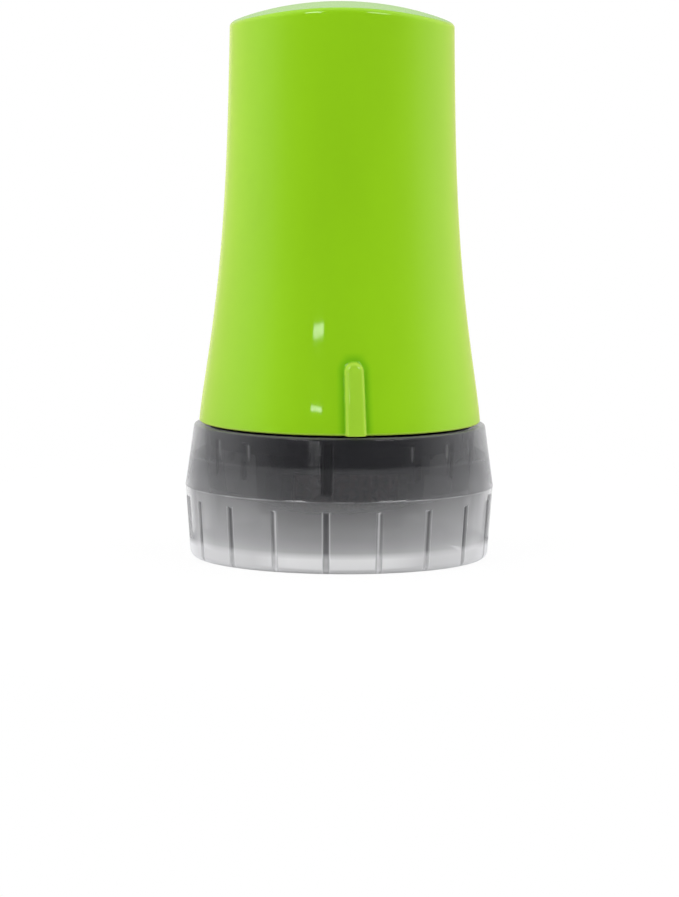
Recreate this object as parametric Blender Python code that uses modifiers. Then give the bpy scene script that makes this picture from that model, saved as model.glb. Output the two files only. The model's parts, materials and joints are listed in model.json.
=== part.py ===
"""Privacy roller stamp: a bell-shaped case, a smoked push-on cap and a pull-out ink cartridge.

Run with: blender --background --python part.py
Metres, +Z up. The origin is the middle of the cap's foot, on the table. -Y is the front, where
the case has its anti-roll rib, and the stamping wheel turns about an axle along X.
"""

import math

import bmesh
import bpy
from mathutils import Matrix, Vector

MM = 0.001

# Fits shared by all pieces
SEAT_GAP = 0.3 * MM
RUNNING_GAP = 0.15 * MM
OVERRUN = 1.0 * MM
WELD = 0.002 * MM

# Smoked cap
CAP_HEIGHT = 16.5 * MM
PARTING_HEIGHT = 8.9 * MM
CAP_LIP_WALL = 1.35 * MM
CAP_SKIRT_FLARE = 1.0 * MM
CAP_GRIP_TAPER = 0.6 * MM
CAP_BASE_WALL = 2.05 * MM
CAP_LIP_FILLET = 0.35 * MM
CAP_BASE_FILLET = 0.9 * MM
CAP_BORE_FILLET = 1.0 * MM
CAP_FLOOR_HEIGHT = 2.3 * MM
CAP_FOOT_WIDTH = 2.1 * MM
CAP_FOOT_HEIGHT = 0.5 * MM
GRIP_COUNT = 18
GRIP_WIDTH = 0.85 * MM
GRIP_SETBACK = 1.3 * MM
HOLD_RIB_WIDTH = 0.8 * MM
HOLD_RIB_HEIGHT = 0.4 * MM
HOLD_RIB_LENGTH = 4.8 * MM
HOLD_RIB_SETBACK = 1.1 * MM

# Bell-shaped case
OVERALL_HEIGHT = 68.3 * MM
CASE_SETBACK = 0.65 * MM
CASE_WALL = 1.5 * MM
FLARE_LENGTH = 18.4 * MM
FLARE_POWER = 1.3
CROWN_RADIUS = 43.0 * MM
CROWN_TURN_DEGREES = -6
CROWN_BLEND = 9.0 * MM
CROWN_FILLET = 0.7 * MM
ROLL_RIB_WIDTH = 2.6 * MM
ROLL_RIB_LENGTH = 9.2 * MM
ROLL_RIB_HEIGHT = 0.95 * MM
CASE_RIB_WIDTH = 1.2 * MM
CASE_RIB_LENGTH = 24.0 * MM
CASE_RIB_AIR = 0.6 * MM

# Stamping wheel
BAND_WIDTH = 12.7 * MM
BAND_THICKNESS = 1.4 * MM
WHEEL_RADIUS = 9.3 * MM
WHEEL_FLOOR_AIR = 1.1 * MM
RIM_WIDTH = 1.0 * MM
RIM_TOOTH_DEPTH = 0.35 * MM
RIM_TEETH = 30
RIM_TIP_SHARES = (0.0, 0.3)
RIM_ROOT_SHARES = (0.5, 0.8)
HUB_RIM_WALL = 1.2 * MM
HUB_WEB = 1.6 * MM
HUB_SLEEVE_WALL = 1.3 * MM
STAMP_AXLE_RADIUS = 1.5 * MM
WHEEL_SIDE_PLAY = 0.35 * MM

# Cartridge
CHEEK_WALL = 1.9 * MM
BUSH_WALL = 0.75 * MM
BUSH_SEAT_DEPTH = 1.2 * MM
LEAD_IN_DEPTH = 0.6 * MM
POCKET_AIR = 1.8 * MM
NOSE_WALL = 1.4 * MM
NOSE_DROP = 5.0 * MM
NOSE_CORNER_CUT = 0.25 * MM
GUARD_SETBACK = 1.8 * MM
COLLAR_BRIM = 0.147 * MM
COLLAR_THICKNESS = 2.6 * MM
COLLAR_PLATE = 1.2 * MM
COLLAR_FILLET = 0.3 * MM
SHOULDER_PLATE = 1.0 * MM
SPIGOT_RISE = 0.9 * MM
THROAT_AIR = 0.9 * MM
SHOULDER_AIR = 0.7 * MM
TRUNK_WALL = 1.2 * MM
TRUNK_CORNER_CUT = 1.365 * MM
TRUNK_AIR = 0.55 * MM
LEDGE_WIDTH = 6.0 * MM
LEDGE_REACH = 1.0 * MM
LEDGE_THICKNESS = 1.5 * MM
COVER_PLATE = 1.2 * MM
COVER_SKIRT_WALL = 1.0 * MM
COVER_SKIRT_DEPTH = 2.8 * MM

# Ink roller and its sprung yoke
INK_RADIUS = 5.8 * MM
INK_SIDE_AIR = 2.83 * MM
INK_LENGTH = 11.0 * MM
INK_CORE_WALL = 1.45 * MM
INK_DISC = 0.6 * MM
INK_DISC_SETBACK = 0.6 * MM
INK_DISC_GAP = 0.1 * MM
INK_AXLE_RADIUS = 1.0 * MM
INK_AXLE_SETBACK = 0.1 * MM
YOKE_ARM = 1.0 * MM
YOKE_ARM_WIDTH = 5.2 * MM
YOKE_PLATE = 1.2 * MM
YOKE_AIR = 0.5 * MM
SPRING_SPACE = 5.7 * MM
SPRING_SPREAD = 7.2 * MM
SPRING_RADIUS = 1.8 * MM
SPRING_WIRE = 0.45 * MM
SPRING_TURNS = 4.5
SPRING_PIN_RADIUS = 1.2 * MM
SPRING_PIN_HEIGHT = 1.2 * MM

# Chassis in the case that the cartridge slides into
CHASSIS_PLATE = 1.8 * MM
SOCKET_HEIGHT = 8.2 * MM
SOCKET_WALL = 1.1 * MM

# Facets
BODY_STEPS = 54
CASE_STEPS = 48
WHEEL_STEPS = 40
SMALL_STEPS = 24
GROOVE_STEPS = 8
WALL_STATIONS = 10
BORE_STATIONS = 5
CROWN_STATIONS = 4
FILLET_STATIONS = 3
BASE_STATIONS = 2
ARC_STATIONS = 6
CURL_POINTS = 10

# Widths that follow from the wheel outwards
RIM_INNER_X = BAND_WIDTH / 2 + RUNNING_GAP
RIM_OUTER_X = RIM_INNER_X + RIM_WIDTH
CHEEK_INNER_X = RIM_OUTER_X + WHEEL_SIDE_PLAY
CHEEK_OUTER_X = CHEEK_INNER_X + CHEEK_WALL
YOKE_OUTER_X = CHEEK_INNER_X - SEAT_GAP
YOKE_INNER_X = YOKE_OUTER_X - YOKE_ARM
BUSH_RADIUS = STAMP_AXLE_RADIUS + RUNNING_GAP + BUSH_WALL
POCKET_Y = WHEEL_RADIUS + POCKET_AIR
NOSE_Y = POCKET_Y + NOSE_WALL
COLLAR_RADIUS = math.hypot(CHEEK_OUTER_X, NOSE_Y) + COLLAR_BRIM
HOLD_RIB_TIP = COLLAR_RADIUS + SEAT_GAP
CAP_BORE_RADIUS = HOLD_RIB_TIP + HOLD_RIB_HEIGHT
CAP_MOUTH_RADIUS = CAP_BORE_RADIUS + CAP_LIP_WALL
CAP_MAX_RADIUS = CAP_MOUTH_RADIUS + CAP_SKIRT_FLARE
CAP_BASE_RADIUS = CAP_MAX_RADIUS - CAP_GRIP_TAPER
CAP_FLOOR_RADIUS = CAP_BASE_RADIUS - CAP_BASE_WALL
TRUNK_BORE_Y = INK_RADIUS + INK_SIDE_AIR
TRUNK_OUTER_Y = TRUNK_BORE_Y + TRUNK_WALL
TRUNK_REACH = math.hypot(CHEEK_OUTER_X, TRUNK_OUTER_Y) - TRUNK_CORNER_CUT
TRUNK_BORE_REACH = TRUNK_REACH - TRUNK_WALL

# Heights that follow from the cap's floor upwards
CASE_MOUTH_Z = CAP_HEIGHT + SEAT_GAP
COLLAR_Z = CAP_HEIGHT - COLLAR_THICKNESS
NOSE_Z = CAP_HEIGHT - NOSE_DROP
AXLE_Z = CAP_FLOOR_HEIGHT + WHEEL_FLOOR_AIR + WHEEL_RADIUS
INK_Z = AXLE_Z + WHEEL_RADIUS + SEAT_GAP + INK_RADIUS
YOKE_PLATE_Z = INK_Z + INK_RADIUS + YOKE_AIR
YOKE_TOP_Z = YOKE_PLATE_Z + YOKE_PLATE
ROOF_Z = YOKE_TOP_Z + SPRING_SPACE
TRUNK_TOP_Z = ROOF_Z - SEAT_GAP
COVER_TOP_Z = ROOF_Z + COVER_PLATE


def wheel_chord(z):
    """Half the wheel's length along Y at a height."""
    return math.sqrt(max(0.0, WHEEL_RADIUS**2 - (z - AXLE_Z) ** 2))


# The throat, where the wheel passes through the collar into the trunk
THROAT_Z = CAP_HEIGHT - COLLAR_PLATE
THROAT_Y = wheel_chord(THROAT_Z) + THROAT_AIR
WHEEL_CORNER_Y = min(
    TRUNK_BORE_Y - THROAT_AIR,
    math.sqrt(TRUNK_BORE_REACH**2 - RIM_OUTER_X**2) - SHOULDER_AIR,
)
WHEEL_FIT_Z = AXLE_Z + math.sqrt(max(0.0, WHEEL_RADIUS**2 - WHEEL_CORNER_Y**2))
SHOULDER_Z = max(WHEEL_FIT_Z, CASE_MOUTH_Z + SPIGOT_RISE)
SPIGOT_TOP_Z = SHOULDER_Z + SHOULDER_PLATE

# The case, from its mouth over the cap's lip to its top round the trunk
CASE_MOUTH_RADIUS = CAP_MOUTH_RADIUS - CASE_SETBACK


def flare_share(z):
    """The share of the flare that is left at a height: all of it at the mouth, none far above."""
    return math.exp(-(max(0.0, (z - CASE_MOUTH_Z) / FLARE_LENGTH) ** FLARE_POWER))


CASE_TRUNK_RADIUS = TRUNK_REACH + TRUNK_AIR + CASE_WALL
CASE_TRUNK_SHARE = flare_share(COVER_TOP_Z)
CASE_TOP_RADIUS = (CASE_TRUNK_RADIUS - CASE_MOUTH_RADIUS * CASE_TRUNK_SHARE) / (1 - CASE_TRUNK_SHARE)


def case_radius(z):
    """Outer radius of the case: a flare at the mouth that dies away towards the straight top."""
    return CASE_TOP_RADIUS + (CASE_MOUTH_RADIUS - CASE_TOP_RADIUS) * flare_share(z)


def bore_radius(z):
    """Inner radius of the case at a height."""
    return case_radius(z) - CASE_WALL


SPIGOT_RADIUS = bore_radius(SPIGOT_TOP_Z) - SEAT_GAP
CHASSIS_Z = SPIGOT_TOP_Z + SEAT_GAP
CHASSIS_TOP_Z = CHASSIS_Z + CHASSIS_PLATE
SOCKET_TOP_Z = CHASSIS_TOP_Z + SOCKET_HEIGHT


def clear_scene():
    for item in list(bpy.data.objects):
        bpy.data.objects.remove(item, do_unlink=True)


def new_collection(name):
    found = bpy.data.collections.new(name)
    bpy.context.scene.collection.children.link(found)
    return found


def plastic(name, colour, roughness, metallic=0.0, alpha=1.0):
    """A material with a Principled BSDF."""
    made = bpy.data.materials.new(name)
    made.use_nodes = True
    shader = made.node_tree.nodes["Principled BSDF"]
    shader.inputs["Base Color"].default_value = (*colour, 1.0)
    shader.inputs["Roughness"].default_value = roughness
    shader.inputs["Metallic"].default_value = metallic
    shader.inputs["Alpha"].default_value = alpha
    return made


def add_object(name, mesh, group):
    made = bpy.data.objects.new(name, mesh)
    group.objects.link(made)
    return made


def as_mesh(source):
    """Replaces a curve, or an object with modifiers, by a plain welded mesh object of the same name."""
    graph = bpy.context.evaluated_depsgraph_get()
    mesh = bpy.data.meshes.new_from_object(source.evaluated_get(graph))
    shape = bmesh.new()
    shape.from_mesh(mesh)
    bmesh.ops.remove_doubles(shape, verts=shape.verts, dist=WELD)
    shape.to_mesh(mesh)
    shape.free()
    name = source.name
    group = source.users_collection[0]
    placed = source.matrix_world.copy()
    bpy.data.objects.remove(source, do_unlink=True)
    made = add_object(name, mesh, group)
    made.matrix_world = placed
    return made


def turned(name, profile, steps, group, closed=False):
    """Turns a profile of (radius, height) points about Z. The profile runs down its outer side."""
    mesh = bpy.data.meshes.new(name)
    count = len(profile)
    edges = [(i, i + 1) for i in range(count - 1)]
    if closed:
        edges.append((count - 1, 0))
    mesh.from_pydata([(radius, 0, z) for radius, z in profile], edges, [])
    made = add_object(name, mesh, group)
    screw = made.modifiers.new("Turn", "SCREW")
    screw.steps = steps
    screw.render_steps = steps
    screw.use_merge_vertices = True
    screw.merge_threshold = WELD
    bpy.context.view_layer.update()
    return as_mesh(made)


def ring(name, inner, outer, low, high, steps, group):
    """A plain turned ring between two radii and two heights."""
    profile = [(inner, low), (inner, high), (outer, high), (outer, low)]
    return turned(name, profile, steps, group, closed=True)


def extruded(name, outlines, low, high, group):
    """A flat plate in XY from low to high. Outlines after the first are holes in it."""
    curve = bpy.data.curves.new(name, "CURVE")
    curve.dimensions = "2D"
    curve.fill_mode = "BOTH"
    curve.extrude = (high - low) / 2
    for outline in outlines:
        spline = curve.splines.new("POLY")
        spline.points.add(len(outline) - 1)
        for point, (x, y) in zip(spline.points, outline):
            point.co = (x, y, 0, 1)
        spline.use_cyclic_u = True
    made = add_object(name, curve, group)
    made.location.z = (low + high) / 2
    bpy.context.view_layer.update()
    made = as_mesh(made)
    made.data.transform(made.matrix_world)
    made.matrix_world = Matrix.Identity(4)
    return made


def block(name, low, high, group):
    """A box between two corners."""
    mesh = bpy.data.meshes.new(name)
    shape = bmesh.new()
    size = Vector(high) - Vector(low)
    middle = (Vector(high) + Vector(low)) / 2
    place = Matrix.Translation(middle) @ Matrix.Diagonal((*size, 1))
    bmesh.ops.create_cube(shape, size=1, matrix=place)
    shape.to_mesh(mesh)
    shape.free()
    return add_object(name, mesh, group)


def rod(name, radius, start, end, steps, group):
    """A round bar between two points."""
    mesh = bpy.data.meshes.new(name)
    shape = bmesh.new()
    along = Vector(end) - Vector(start)
    turn = along.to_track_quat("Z", "Y").to_matrix().to_4x4()
    place = Matrix.Translation((Vector(start) + Vector(end)) / 2) @ turn
    bmesh.ops.create_cone(
        shape,
        cap_ends=True,
        segments=steps,
        radius1=radius,
        radius2=radius,
        depth=along.length,
        matrix=place,
    )
    shape.to_mesh(mesh)
    shape.free()
    return add_object(name, mesh, group)


def gathered(name, pieces, group):
    """Joins the meshes of several separate pieces into one object."""
    shape = bmesh.new()
    for piece in pieces:
        piece.data.transform(piece.matrix_world)
        shape.from_mesh(piece.data)
        bpy.data.objects.remove(piece, do_unlink=True)
    mesh = bpy.data.meshes.new(name)
    shape.to_mesh(mesh)
    shape.free()
    return add_object(name, mesh, group)


def combine(body, other, operation):
    """Adds a Boolean of body with other. The other object stays as a hidden guide."""
    other.hide_render = True
    other.display_type = "WIRE"
    step = body.modifiers.new(other.name, "BOOLEAN")
    step.operation = operation
    step.object = other


def flatted_round(half_x, half_y, reach):
    """The outline of a circle of radius reach with flats at +-half_x and +-half_y."""
    start = math.acos(min(1.0, half_x / reach))
    end = math.asin(min(1.0, half_y / reach))
    if start >= end:
        quarter = [(half_x, half_y)]
    else:
        angles = [start + (end - start) * i / ARC_STATIONS for i in range(ARC_STATIONS + 1)]
        quarter = [(reach * math.cos(a), reach * math.sin(a)) for a in angles]
    mirrored = [(-x, y) for x, y in reversed(quarter)]
    upper = quarter + mirrored
    return upper + [(-x, -y) for x, y in upper]


def arc(centre, radius, start, end, stations):
    """Points of an arc in a profile, angles in degrees from +X towards +Z."""
    angles = [math.radians(start + (end - start) * i / stations) for i in range(stations + 1)]
    return [(centre[0] + radius * math.cos(a), centre[1] + radius * math.sin(a)) for a in angles]


def finish(piece, material, crease=30.0):
    """Gives a piece its material and smooth shading with sharp edges kept."""
    piece.data.materials.clear()
    piece.data.materials.append(material)
    piece.data.shade_smooth()
    piece.data.set_sharp_from_angle(angle=math.radians(crease))
    return piece


def joint_empty(name, place, group, parent=None):
    """An empty on a joint's axis that carries the pieces of one moving body."""
    made = bpy.data.objects.new(name, None)
    made.empty_display_size = SEAT_GAP
    made.location = place
    group.objects.link(made)
    bpy.context.view_layer.update()
    if parent:
        carry(parent, [made])
    return made


def carry(parent, pieces):
    """Parents pieces to an empty and leaves them where they are."""
    bpy.context.view_layer.update()
    for piece in pieces:
        placed = piece.matrix_world.copy()
        piece.parent = parent
        piece.matrix_parent_inverse = parent.matrix_world.inverted()
        piece.matrix_world = placed


def move_origin(piece, place):
    """Moves a piece's origin to a point on its joint's axis without moving its surface."""
    piece.data.transform(Matrix.Translation(-Vector(place)))
    piece.location = place


def lay_on_axle(piece, height):
    """Turns a piece made about Z so that it lies about X, at the height of its axle."""
    piece.rotation_euler = (0, math.radians(90), 0)
    piece.location = (0, 0, height)
    return piece


def crown_drop(x, y):
    """How far the arched top of the case lies below its ridge, which is turned a little from the rib."""
    turn = math.radians(CROWN_TURN_DEGREES)
    across = x * math.cos(turn) + y * math.sin(turn)
    return CROWN_RADIUS - math.sqrt(CROWN_RADIUS**2 - across**2)


def bell(name, mouth_z, top_z, radius_at, stations, group):
    """A solid bell: a turned flare with a rounded rim, whose top is then bent to an arch."""
    rim_z = top_z - CROWN_FILLET
    middle = (radius_at(rim_z) - CROWN_FILLET, rim_z)
    crown = [(middle[0] * i / CROWN_STATIONS, top_z) for i in range(CROWN_STATIONS)]
    rim = arc(middle, CROWN_FILLET, 90, 0, FILLET_STATIONS)
    heights = [rim_z - (rim_z - mouth_z) * (i + 1) / stations for i in range(stations)]
    wall = [(radius_at(z), z) for z in heights]
    made = turned(name, crown + rim + wall + [(0, mouth_z)], CASE_STEPS, group)
    for vertex in made.data.vertices:
        share = (vertex.co.z - (top_z - CROWN_BLEND)) / CROWN_BLEND
        if share > 0:
            vertex.co.z -= crown_drop(vertex.co.x, vertex.co.y) * min(1.0, share)
    return made


def make_case(parts, cutters, material):
    """Green bell-shaped shell with its anti-roll rib outside and four ribs inside."""
    body = bell("case_shell", CASE_MOUTH_Z, OVERALL_HEIGHT, case_radius, WALL_STATIONS, parts)

    half = ROLL_RIB_WIDTH / 2
    rib_top = CASE_MOUTH_Z + ROLL_RIB_LENGTH
    low = [(half, CASE_MOUTH_Z), (-half, CASE_MOUTH_Z)]
    outline = low + arc((0, rib_top - half), half, 180, 0, 2 * ARC_STATIONS)
    near = CASE_MOUTH_RADIUS + ROLL_RIB_HEIGHT + OVERRUN
    rib = extruded("roll_rib", [outline], bore_radius(rib_top), near, cutters)
    rib.data.transform(Matrix.Rotation(math.radians(90), 4, "X"))
    top_z = rib_top + OVERRUN
    heights = [top_z - (top_z - CASE_MOUTH_Z) * i / BORE_STATIONS for i in range(BORE_STATIONS + 1)]
    skin = [(case_radius(z) + ROLL_RIB_HEIGHT, z) for z in heights]
    profile = [(0, top_z)] + skin + [(0, CASE_MOUTH_Z)]
    limit = turned("roll_rib_limit", profile, CASE_STEPS, cutters)
    combine(rib, limit, "INTERSECT")
    combine(body, rib, "UNION")

    cavity = bell(
        "case_cavity",
        CASE_MOUTH_Z - OVERRUN,
        OVERALL_HEIGHT - CASE_WALL,
        bore_radius,
        BORE_STATIONS,
        cutters,
    )
    low_z = CHASSIS_TOP_Z + SEAT_GAP
    inner = max(CHEEK_OUTER_X, TRUNK_OUTER_Y) + SEAT_GAP + SOCKET_WALL + CASE_RIB_AIR
    side = CASE_RIB_WIDTH / 2
    ribs = []
    for quarter in range(4):
        far = CASE_MOUTH_RADIUS + OVERRUN
        bar = block("rib", (inner, -side, low_z), (far, side, low_z + CASE_RIB_LENGTH), cutters)
        bar.data.transform(Matrix.Rotation(math.radians(90 * quarter), 4, "Z"))
        ribs.append(bar)
    combine(cavity, gathered("case_ribs", ribs, cutters), "DIFFERENCE")
    combine(body, cavity, "DIFFERENCE")
    return finish(body, material)


def cap_outer_radius(z):
    """Outer radius of the cap below its parting line."""
    share = (z - CAP_BASE_FILLET) / (PARTING_HEIGHT - CAP_BASE_FILLET)
    return CAP_BASE_RADIUS + (CAP_MAX_RADIUS - CAP_BASE_RADIUS) * share


def make_cap(parts, cutters, material):
    """Smoked cup with a drafted skirt, a grooved grip band and ribs inside that hold the collar."""
    lip = CAP_MOUTH_RADIUS - CAP_LIP_FILLET
    floor_corner = (CAP_FLOOR_RADIUS - CAP_BORE_FILLET, CAP_FLOOR_HEIGHT + CAP_BORE_FILLET)
    base_corner = (CAP_BASE_RADIUS - CAP_BASE_FILLET, CAP_BASE_FILLET)
    foot_inner = base_corner[0] - CAP_FOOT_WIDTH
    profile = [(0, CAP_FLOOR_HEIGHT)]
    profile += arc(floor_corner, CAP_BORE_FILLET, -90, 0, FILLET_STATIONS)
    profile.append((CAP_BORE_RADIUS, CAP_HEIGHT))
    profile += arc((lip, CAP_HEIGHT - CAP_LIP_FILLET), CAP_LIP_FILLET, 90, 0, FILLET_STATIONS)
    profile.append((CAP_MAX_RADIUS, PARTING_HEIGHT))
    profile += arc(base_corner, CAP_BASE_FILLET, 0, -90, BASE_STATIONS)
    profile += [
        (foot_inner, 0),
        (foot_inner - CAP_FOOT_HEIGHT, CAP_FOOT_HEIGHT),
        (0, CAP_FOOT_HEIGHT),
    ]
    body = turned("cap", profile, BODY_STEPS, parts)

    top_z = PARTING_HEIGHT - GRIP_SETBACK
    low_z = -OVERRUN
    grooves = []
    ribs = []
    rib_top = CAP_HEIGHT - HOLD_RIB_SETBACK
    half = HOLD_RIB_WIDTH / 2
    for number in range(GRIP_COUNT):
        angle = math.radians(270) + 2 * math.pi * (number + 0.5) / GRIP_COUNT
        turn = Matrix.Rotation(angle, 4, "Z")
        start = (cap_outer_radius(low_z), 0, low_z)
        end = (cap_outer_radius(top_z), 0, top_z)
        groove = rod("groove", GRIP_WIDTH / 2, start, end, GROOVE_STEPS, cutters)
        groove.data.transform(turn)
        grooves.append(groove)
        near = (HOLD_RIB_TIP, -half, rib_top - HOLD_RIB_LENGTH)
        far = (CAP_BORE_RADIUS + CAP_LIP_FILLET, half, rib_top)
        rib = block("hold_rib", near, far, cutters)
        rib.data.transform(turn)
        ribs.append(rib)
    combine(body, gathered("hold_ribs", ribs, cutters), "UNION")
    combine(body, gathered("grip_grooves", grooves, cutters), "DIFFERENCE")
    return finish(body, material)


def make_chassis(parts, cutters, material):
    """Guide pressed into the case mouth: a tapered plate with a socket that the cartridge slides in."""
    stations = [CHASSIS_TOP_Z - (CHASSIS_TOP_Z - CHASSIS_Z) * i / 2 for i in range(3)]
    edge = [(bore_radius(z) - SEAT_GAP, z) for z in stations]
    body = turned(
        "chassis_socket",
        [(0, CHASSIS_TOP_Z)] + edge + [(0, CHASSIS_Z)],
        CASE_STEPS,
        parts,
    )
    bore = (
        CHEEK_OUTER_X + SEAT_GAP,
        TRUNK_OUTER_Y + SEAT_GAP,
        TRUNK_REACH + SEAT_GAP,
    )
    outer = flatted_round(
        bore[0] + SOCKET_WALL,
        bore[1] + SOCKET_WALL,
        bore_radius(SOCKET_TOP_Z) - SEAT_GAP,
    )
    tube = extruded("socket_tube", [outer], CHASSIS_Z + SEAT_GAP, SOCKET_TOP_Z, cutters)
    hole = extruded(
        "socket_bore",
        [flatted_round(*bore)],
        CHASSIS_Z - OVERRUN,
        SOCKET_TOP_Z + OVERRUN,
        cutters,
    )
    combine(body, tube, "UNION")
    combine(body, hole, "DIFFERENCE")
    return finish(body, material)


def cheek_guard(name, inner_x, outer_x, group):
    """One side guard below the nose: in the YZ plane, a plate rounded about the axle."""
    radius = WHEEL_RADIUS - GUARD_SETBACK
    top = COLLAR_Z + OVERRUN
    shoulder = POCKET_Y
    rounded = arc((0, AXLE_Z), radius, 180, 360, 2 * ARC_STATIONS)
    outline = [(shoulder, NOSE_Z), (shoulder, top), (-shoulder, top), (-shoulder, NOSE_Z)]
    guard = extruded(name, [outline + rounded], inner_x, outer_x, group)
    guard.data.transform(Matrix(((0, 0, 1, 0), (1, 0, 0, 0), (0, 1, 0, 0), (0, 0, 0, 1))))
    return guard


def make_cartridge_frame(parts, cutters, material):
    """One moulding: round collar, square nose with side guards, and the trunk that enters the case."""
    corner = (COLLAR_RADIUS - COLLAR_FILLET, CAP_HEIGHT - COLLAR_FILLET)
    profile = [(0, SPIGOT_TOP_Z), (SPIGOT_RADIUS, SPIGOT_TOP_Z), (SPIGOT_RADIUS, CAP_HEIGHT)]
    profile += arc(corner, COLLAR_FILLET, 90, 0, FILLET_STATIONS)
    profile += [(COLLAR_RADIUS, COLLAR_Z), (0, COLLAR_Z)]
    body = turned("cartridge_frame", profile, BODY_STEPS, parts)

    nose_reach = math.hypot(CHEEK_OUTER_X, NOSE_Y) - NOSE_CORNER_CUT
    nose = extruded(
        "nose",
        [flatted_round(CHEEK_OUTER_X, NOSE_Y, nose_reach)],
        NOSE_Z,
        COLLAR_Z + SEAT_GAP,
        cutters,
    )
    combine(body, nose, "UNION")
    combine(body, cheek_guard("guard_right", CHEEK_INNER_X - OVERRUN, CHEEK_OUTER_X, cutters), "UNION")
    combine(body, cheek_guard("guard_left", -CHEEK_OUTER_X, OVERRUN - CHEEK_INNER_X, cutters), "UNION")
    trunk = extruded(
        "trunk",
        [flatted_round(CHEEK_OUTER_X, TRUNK_OUTER_Y, TRUNK_REACH)],
        SPIGOT_TOP_Z - SHOULDER_PLATE / 2,
        TRUNK_TOP_Z,
        cutters,
    )
    combine(body, trunk, "UNION")

    low = (-CHEEK_INNER_X, -POCKET_Y, -OVERRUN)
    combine(body, block("pocket", low, (CHEEK_INNER_X, POCKET_Y, THROAT_Z), cutters), "DIFFERENCE")
    low = (-CHEEK_INNER_X, -THROAT_Y, THROAT_Z - OVERRUN)
    combine(body, block("throat", low, (CHEEK_INNER_X, THROAT_Y, SHOULDER_Z), cutters), "DIFFERENCE")
    bore = extruded(
        "trunk_bore",
        [flatted_round(CHEEK_INNER_X, TRUNK_BORE_Y, TRUNK_BORE_REACH)],
        SHOULDER_Z - SEAT_GAP,
        TRUNK_TOP_Z + OVERRUN,
        cutters,
    )
    combine(body, bore, "DIFFERENCE")

    seat_x = CHEEK_INNER_X + BUSH_SEAT_DEPTH
    seat = rod(
        "bush_seats",
        BUSH_RADIUS + RUNNING_GAP,
        (-seat_x, 0, AXLE_Z),
        (seat_x, 0, AXLE_Z),
        SMALL_STEPS,
        cutters,
    )
    combine(body, seat, "DIFFERENCE")
    lead_x = CHEEK_INNER_X + LEAD_IN_DEPTH
    lead_y = STAMP_AXLE_RADIUS + RUNNING_GAP
    lead = block("lead_in", (-lead_x, -lead_y, -OVERRUN), (lead_x, lead_y, AXLE_Z), cutters)
    combine(body, lead, "DIFFERENCE")

    ledge_top = YOKE_PLATE_Z - SEAT_GAP
    half = LEDGE_WIDTH / 2
    ledges = []
    for side in (-1, 1):
        near = side * (TRUNK_BORE_Y - LEDGE_REACH)
        far = side * (TRUNK_BORE_Y + TRUNK_WALL / 2)
        low = (-half, min(near, far), ledge_top - LEDGE_THICKNESS)
        ledges.append(block("ledge", low, (half, max(near, far), ledge_top), cutters))
    combine(body, gathered("ledges", ledges, cutters), "UNION")
    return finish(body, material)


def make_cartridge_cover(parts, cutters, material):
    """Lid of the trunk, with a skirt that plugs into it and pins that hold the springs."""
    body = extruded(
        "cartridge_cover",
        [flatted_round(CHEEK_OUTER_X, TRUNK_OUTER_Y, TRUNK_REACH)],
        ROOF_Z,
        COVER_TOP_Z,
        parts,
    )
    reach = TRUNK_BORE_REACH - SEAT_GAP
    half_x = CHEEK_INNER_X - SEAT_GAP
    half_y = TRUNK_BORE_Y - SEAT_GAP
    wall = COVER_SKIRT_WALL
    outlines = [
        flatted_round(half_x, half_y, reach),
        flatted_round(half_x - wall, half_y - wall, reach - wall),
    ]
    skirt_top = ROOF_Z + COVER_PLATE / 2
    skirt = extruded("cover_skirt", outlines, ROOF_Z - COVER_SKIRT_DEPTH, skirt_top, cutters)
    combine(body, skirt, "UNION")
    pins = spring_pins("cover_pins", ROOF_Z - SPRING_PIN_HEIGHT, skirt_top, cutters)
    combine(body, pins, "UNION")
    return finish(body, material)


def spring_pins(name, low, high, group):
    """The pair of short pins that a spring's end sits on."""
    pins = []
    for side in (-1, 1):
        x = side * SPRING_SPREAD / 2
        pins.append(rod("pin", SPRING_PIN_RADIUS, (x, 0, low), (x, 0, high), SMALL_STEPS, group))
    return gathered(name, pins, group)


def make_bushes(parts, material):
    """The pair of bushes for the stamping wheel's axle, one in each cheek."""
    low = CHEEK_INNER_X + RUNNING_GAP
    high = CHEEK_INNER_X + BUSH_SEAT_DEPTH - RUNNING_GAP
    pieces = []
    for name, side in (("axle_bush_left", -1), ("axle_bush_right", 1)):
        near, far = sorted((side * low, side * high))
        inner = STAMP_AXLE_RADIUS + RUNNING_GAP
        bush = ring(name, inner, BUSH_RADIUS, near, far, SMALL_STEPS, parts)
        pieces.append(finish(lay_on_axle(bush, AXLE_Z), material))
    return pieces


def make_hub(parts, material):
    """Spool-shaped hub: a sleeve on the axle, a web and a rim that carries the band."""
    bore = STAMP_AXLE_RADIUS + RUNNING_GAP
    sleeve = bore + HUB_SLEEVE_WALL
    rim_outer = WHEEL_RADIUS - BAND_THICKNESS - RUNNING_GAP
    rim_inner = rim_outer - HUB_RIM_WALL
    end = RIM_OUTER_X
    edge = BAND_WIDTH / 2
    web = HUB_WEB / 2
    upper = [(bore, end), (sleeve, end), (sleeve, web), (rim_inner, web), (rim_inner, edge)]
    upper.append((rim_outer, edge))
    lower = [(radius, -z) for radius, z in reversed(upper)]
    hub = turned("wheel_hub", upper + lower, WHEEL_STEPS, parts, closed=True)
    return finish(lay_on_axle(hub, AXLE_Z), material)


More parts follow.
